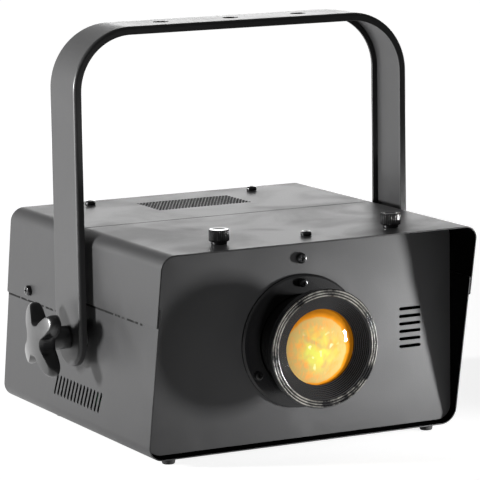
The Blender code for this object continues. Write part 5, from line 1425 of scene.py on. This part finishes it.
def hand_screws():
    """Knurled hand screws: ribbed head with a dished top, plain collar and shank."""
    case, small = light("case", "fasteners")
    base, top, wide = case.gap, case.gap + small.hand_height, small.hand
    collar, neck, shank = base + small.hand_collar, small.hand_neck, small.hand_shank
    hollow, chamfer = top - 0.0006, 0.0008
    profile = rounded_profile(
        [
            (0, hollow), (wide * 0.55, hollow), (wide * 0.70, top), (wide - chamfer, top),
            (wide, top - 0.0009), (wide, collar + chamfer), (wide - chamfer, collar), (neck, collar),
            (neck, base), (shank, base), (shank, -small.reach), (0, -small.reach),
        ],
        [0, 0.001, 0.0006, 0.0003, 0.0003, 0.0003, 0.0003, 0.0004, 0.0003, 0, 0.0003, 0],
    )
    # More rows down the side, so that the ribs end in a short slope.
    tall = np.linspace(top - 0.0012, collar + 0.0011, 5)
    at = np.searchsorted(-profile[:, 1], -tall[0])
    profile = np.concatenate((profile[:at], pairs(wide, tall), profile[at:]))
    shape = knurled(wide - 0.0012, small.knurls, small.knurl_depth, collar - 0.0001, top - 0.0001)
    for side, sign in SIDES:
        name = "hand_screw_" + side
        place = facing("top", sign * small.side_x, small.top_y, case.height)
        shell = turned(profile, place, small.knurls * 8, shape)
        piece(name + "_knurled", [shell], "black_steel", name, [name])


def feet():
    """Rubber feet: a tapered drum with a rounded tread and the hollow for its screw."""
    small = light("fasteners")
    wide, tall = small.foot, small.foot_height
    hollow = tall - 0.0022
    profile = rounded_profile(
        [
            (0, hollow), (wide * 0.40, hollow), (wide * 0.44, tall), (wide * 0.86, tall),
            (wide, 0.0003), (0, 0.0003),
        ],
        [0, 0.0003, 0.0004, 0.0010, 0.0003, 0],
    )
    for end, y in (("front", small.foot_front), ("rear", small.foot_rear)):
        for side, sign in SIDES:
            name = "foot_%s_%s" % (end, side)
            shell = turned(profile, facing("down", sign * small.foot_x, y, 0), 48)
            piece(name + "_rubber", [shell], "foot_rubber", "case", [name])


def yoke():
    """The yoke: one web bent at two corners, its border folded in all round, with round ends."""
    sizes, lens = light("carriage", "lens")
    start = panel_point(-sizes.face_x, sizes.pivot_y, sizes.pivot_z)
    leg, bar = sizes.top - sizes.corner - sizes.pivot_z, 2 * (sizes.face_x - sizes.corner)
    section = trough(start, leg, sizes.corner, bar, 90, 24)
    whole, lines = section.whole, section.lines
    flat_half = sizes.width / 2 - sizes.fold
    low = pairs(lines, -flat_half)
    far_end = arc((whole, 0), flat_half, -90, 90, 36)
    near_end = arc((0, 0), flat_half, 90, 270, 36)
    outline = np.concatenate((low, far_end, low[::-1] * (1, -1), near_end))
    index = np.arange(len(lines))
    folds = np.stack((index, 2 * len(lines) + len(far_end) - 1 - index), 1)
    holes = [
        circles(pairs(whole / 2 + np.array((-1, 0, 1)) * sizes.spacing, 0), sizes.hole, 48),
        circles([(0, 0), (whole, 0)], sizes.bolt + lens.running, 32),
    ]
    levels = flanged_edge(sizes.sheet, sizes.fold, sizes.flange, sizes.edge)
    shell = cut_sheet(outline, holes, folds, section, levels, cut_edge(sizes.sheet, sizes.hole_edge))
    piece("yoke_channel", [shell], "yoke_paint", "yoke", ["yoke"])


def star_outline():
    """Four arms with round tips; a round waist runs from each arm into the next."""
    sizes = light("carriage")
    half = sizes.arm / 2
    tip = sizes.tip - half
    waist = (sizes.waist + half) / np.sin(pi / 4)
    quarter = np.concatenate((
        arc((tip, 0), half, -90, 90, 12)[:-1],
        arc((waist * np.cos(pi / 4), waist * np.sin(pi / 4)), sizes.waist, 270, 180, 10)[:-1],
    ))
    turns = sizes.knob_turn + np.arange(4)[:, None] * pi / 2
    x, y = quarter[:, 0], quarter[:, 1]
    loop = pairs(x * np.cos(turns) - y * np.sin(turns), x * np.sin(turns) + y * np.cos(turns))
    return loop.reshape(-1, 2)


def star_knobs():
    """Star knobs: a domed face that falls to the arms' tips, rounded edges, and the hub.

    The star is a profile of (share of the outline's radius, height) turned about the axis, its
    radius at each turn that of the outline there.
    """
    case, sizes = light("case", "carriage")
    loop = star_outline()
    reach = np.linalg.norm(loop, axis=1)
    around = np.arctan2(loop[:, 1], loop[:, 0]) % (2 * pi)
    order = np.argsort(around)
    base, top = sizes.hub_length, sizes.hub_length + sizes.knob + sizes.dome
    edge, share_edge = sizes.knob_edge, sizes.knob_edge / sizes.tip
    turn = np.linspace(0, pi / 2, 8)
    face = pairs(np.linspace(0, 1 - share_edge, 16), top)
    upper = pairs(1 - share_edge * (1 - np.sin(turn)), top - edge * (1 - np.cos(turn)))
    lower = pairs(1 - share_edge * (1 - np.cos(turn)), base + edge * (1 - np.sin(turn)))
    profile = np.concatenate((face, upper[1:], lower, [(0, base)]))

    def shape(radius, height, turn):
        wide = radius * np.interp(turn, around[order], reach[order], period=2 * pi)
        high = np.clip((height - base - edge) / (top - edge - base - edge), 0, 1)
        return wide, height - sizes.fall * high * (wide / sizes.tip) ** 2

    sunk = base + 0.002
    hub = rounded_profile([(0, sunk), (sizes.hub, sunk), (sizes.hub, 0), (0, 0)], [0, 0, 0.0006, 0])
    for name, side in SIDES:
        place = facing(name, side * (sizes.face_x + case.gap), sizes.pivot_y, sizes.pivot_z)
        shells = [turned(profile, place, 288, shape), turned(hub, place, 48)]
        label = "star_knob_" + name
        piece(label + "_moulding", shells, "knob_plastic", label, [label])


# operators


class STAGELIGHT_OT_case(bpy.types.Operator):
    """Folds both covers, the base tray and the front panel"""

    bl_idname = "stagelight.case"
    bl_label = "Case sheets"

    def execute(self, context):
        covers()
        base_tray()
        front_panel()
        return {"FINISHED"}


class STAGELIGHT_OT_rear(bpy.types.Operator):
    """Folds the rear panel and makes its eye, buttons and fuse cap"""

    bl_idname = "stagelight.rear"
    bl_label = "Rear panel"

    def execute(self, context):
        rear_panel()
        safety_eye()
        menu_buttons()
        fuse_cap()
        return {"FINISHED"}


class STAGELIGHT_OT_lens(bpy.types.Operator):
    """Turns the lens's flange, barrel and glass"""

    bl_idname = "stagelight.lens"
    bl_label = "Lens"

    def execute(self, context):
        lens_flange()
        focus_barrel()
        front_lens()
        return {"FINISHED"}


class STAGELIGHT_OT_fasteners(bpy.types.Operator):
    """Makes the screws, the hand screws and the feet"""

    bl_idname = "stagelight.fasteners"
    bl_label = "Screws and feet"

    def execute(self, context):
        screws()
        hand_screws()
        feet()
        return {"FINISHED"}


class STAGELIGHT_OT_carriage(bpy.types.Operator):
    """Makes the yoke and its star knobs"""

    bl_idname = "stagelight.carriage"
    bl_label = "Yoke and knobs"

    def execute(self, context):
        yoke()
        star_knobs()
        return {"FINISHED"}


class STAGELIGHT_OT_dress(bpy.types.Operator):
    """Gives every CAD node that still shows its finish"""

    bl_idname = "stagelight.dress"
    bl_label = "Finishes of the kept nodes"

    def execute(self, context):
        known = {m["slot"] for m in frame["record"]["materials"]}
        for kept in frame["nodes"].values():
            for holder in kept.material_slots:
                name = holder.material.name.split(".")[0]
                if name not in known:
                    raise RuntimeError(kept.name + " has an unknown finish " + name)
                holder.material = finish(name)
        return {"FINISHED"}


class STAGELIGHT_OT_stage(bpy.types.Operator):
    """Lays the floor and sets up the lamps, the world and the camera"""

    bl_idname = "stagelight.stage"
    bl_label = "Stage"

    def execute(self, context):
        floor()
        world()
        lamps()
        camera()
        return {"FINISHED"}


def background(tree, way, seen, shown, front, plain):
    """Strength of a backdrop: what the camera sees, what mirrors see, and the light it gives.

    way is above 0 towards the backdrop and below 0 towards the dark room in front and above.
    Mirrors and clear glass see white where it is above 0.5.
    """
    rays = node(tree, "LightPath").outputs
    behind = calculate(tree, "MULTIPLY", way, 2.0, clamp=True)
    mirrored = calculate(tree, "MULTIPLY_ADD", behind, shown - front, front)
    mirror = calculate(tree, "MAXIMUM", rays["Is Glossy Ray"], rays["Is Transmission Ray"])
    eye = rays["Is Camera Ray"]
    strength = calculate(tree, "MULTIPLY", eye, seen)
    strength = calculate(tree, "ADD", strength, calculate(tree, "MULTIPLY", mirror, mirrored))
    rest = calculate(tree, "SUBTRACT", 1.0, calculate(tree, "MAXIMUM", eye, mirror))
    return calculate(tree, "ADD", strength, calculate(tree, "MULTIPLY", rest, plain))


def floor():
    """A wide pale floor, a grid of nine squares, that adds plain light where it is seen."""
    stage = light("stage")
    side = np.array((-30.0, -3.0, 3.0, 30.0))
    x, y = (a.ravel() for a in np.meshgrid(side, side))
    mesh = bpy.data.meshes.new("floor")
    grid = np.arange(16).reshape(4, 4)
    quads = np.stack((grid[:-1, :-1], grid[:-1, 1:], grid[1:, 1:], grid[1:, :-1]), -1).reshape(-1, 4)
    mesh.from_pydata(np.stack((x, y, x * 0), 1).tolist(), [], quads.tolist())
    obj = bpy.data.objects.new("floor", mesh)
    bpy.context.scene.collection.objects.link(obj)
    material, tree, shader = principled("floor", {
        "Base Color": stage.floor, "Roughness": 0.9, "Specular IOR Level": 0.0, "Emission Color": (1, 1, 1),
    })
    place = object_place(tree)
    way = calculate(tree, "ADD", axes(tree, place)["Y"], 0.3)
    far = node(tree, "VectorMath", {0: place}, operation="LENGTH").outputs["Value"]
    far = calculate(tree, "MULTIPLY_ADD", far, 0.5, -0.4, clamp=True)
    seen = calculate(tree, "MULTIPLY_ADD", far, 1 - stage.floor_light, stage.floor_light)
    strength = background(tree, way, seen, stage.floor_light, stage.floor_front, 0.0)
    feed(tree, shader, {"Emission Strength": strength})
    mesh.materials.append(material)


def world():
    """White where the camera looks; in reflections white behind the light and greyer in front."""
    stage = light("stage")
    scene_world = bpy.data.worlds.new("studio")
    bpy.context.scene.world = scene_world
    scene_world.use_nodes = True
    tree = scene_world.node_tree
    way = axes(tree, node(tree, "TexCoord").outputs["Generated"])
    way = calculate(tree, "MULTIPLY_ADD", way["Z"], -stage.backdrop_slope, way["Y"])
    strength = background(tree, way, 1.0, 1.0, stage.front, stage.ambient)
    feed(tree, tree.nodes["Background"], {"Color": (1, 1, 1), "Strength": strength})


def place_object(name, data, at, right, up, out):
    """An object of a lamp or a camera, its axes turned to right, up and out."""
    obj = bpy.data.objects.new(name, data)
    turn = Matrix([list(row) for row in np.stack((right, up, out), 1)]).to_4x4()
    obj.matrix_world = Matrix.Translation(at) @ turn
    bpy.context.scene.collection.objects.link(obj)
    return obj


def lamp(name, at, target, size, energy, spread, mirrored=True):
    """A square lamp that faces its target and that the camera doesn't see; spread is its beam.

    A lamp that isn't mirrored doesn't show in shiny parts.
    """
    data = bpy.data.lights.new(name, "AREA")
    data.shape = "RECTANGLE"
    data.size, data.size_y = size
    data.energy = energy
    data.spread = spread
    out = unit(np.asarray(at, float) - target)
    right = unit(np.cross(Z, out))
    obj = place_object(name, data, at, right, np.cross(out, right), out)
    obj.visible_camera = False
    obj.visible_glossy = mirrored


def lamps():
    """A lamp close at the right, a low fill, one at the left and a strip behind, low over the top."""
    stage = light("stage")
    near, panel_side = panel_point(0.50, -0.30, 0.06), panel_point(0.055, 0, 0.055)
    low, panel_middle = panel_point(-0.20, -0.90, 0.0), panel_point(0.02, 0, 0.075)
    case_middle = panel_point(0, 0.03, 0.115)
    left = case_middle + 2.2 * np.array((-0.916, 0.370, 0.156))
    behind = case_middle + 2.5 * np.array((0.492, 0.853, 0.174))
    lamp("side_lamp", near, panel_side, (0.05, 0.11), stage.side_power, stage.side_spread)
    lamp("fill_lamp", low, panel_middle, (0.20, 0.05), stage.fill_power, stage.fill_spread, mirrored=False)
    lamp("key_lamp", left, case_middle, (0.25, 0.25), stage.key_power, stage.open_spread)
    lamp("strip_lamp", behind, case_middle, (1.8, 0.4), stage.strip_power, stage.open_spread)


def camera():
    """The camera's axes from its azimuth, elevation and roll: back, right and up."""
    stage = light("stage")
    a, e, r = stage.azimuth, stage.elevation, stage.roll
    back = np.array((np.sin(a) * np.cos(e), -np.cos(a) * np.cos(e), np.sin(e)))
    level = np.array((np.cos(a), np.sin(a), 0))
    up = np.cross(back, level)
    right, up = np.cos(r) * level + np.sin(r) * up, -np.sin(r) * level + np.cos(r) * up
    data = bpy.data.cameras.new("camera")
    data.lens = stage.focal
    data.sensor_width = 36.0
    data.clip_end = 200.0
    bpy.context.scene.camera = place_object("camera", data, stage.eye, right, up, back)
    bpy.context.scene.view_settings.view_transform = "Standard"


OPERATORS = (
    STAGELIGHT_OT_case,
    STAGELIGHT_OT_rear,
    STAGELIGHT_OT_lens,
    STAGELIGHT_OT_fasteners,
    STAGELIGHT_OT_carriage,
    STAGELIGHT_OT_dress,
    STAGELIGHT_OT_stage,
)
SIZES = {
    "light_case": CaseSizes,
    "light_lens": LensSizes,
    "light_carriage": CarriageSizes,
    "light_fasteners": FastenerSizes,
    "light_rear": RearSizes,
    "light_finishes": Finishes,
    "light_stage": StageSetup,
}


class STAGELIGHT_PT_panel(bpy.types.Panel):
    """Lists the light's pieces, one button each"""

    bl_idname = "STAGELIGHT_PT_panel"
    bl_label = "Stage light"
    bl_space_type = "VIEW_3D"
    bl_region_type = "UI"
    bl_category = "Stage light"

    def draw(self, context):
        for operator in OPERATORS:
            self.layout.operator(operator.bl_idname)


def register():
    for group in SIZES.values():
        bpy.utils.register_class(group)
    for label, group in SIZES.items():
        setattr(bpy.types.Scene, label, PointerProperty(type=group))
    for operator in OPERATORS:
        bpy.utils.register_class(operator)
    bpy.utils.register_class(STAGELIGHT_PT_panel)


def unregister():
    bpy.utils.unregister_class(STAGELIGHT_PT_panel)
    for operator in reversed(OPERATORS):
        bpy.utils.unregister_class(operator)
    for label in SIZES:
        delattr(bpy.types.Scene, label)
    for group in reversed(SIZES.values()):
        bpy.utils.unregister_class(group)


def main():
    register()
    for operator in OPERATORS:
        getattr(bpy.ops.stagelight, operator.bl_idname.split(".")[1])()


if __name__ == "__main__":
    main()
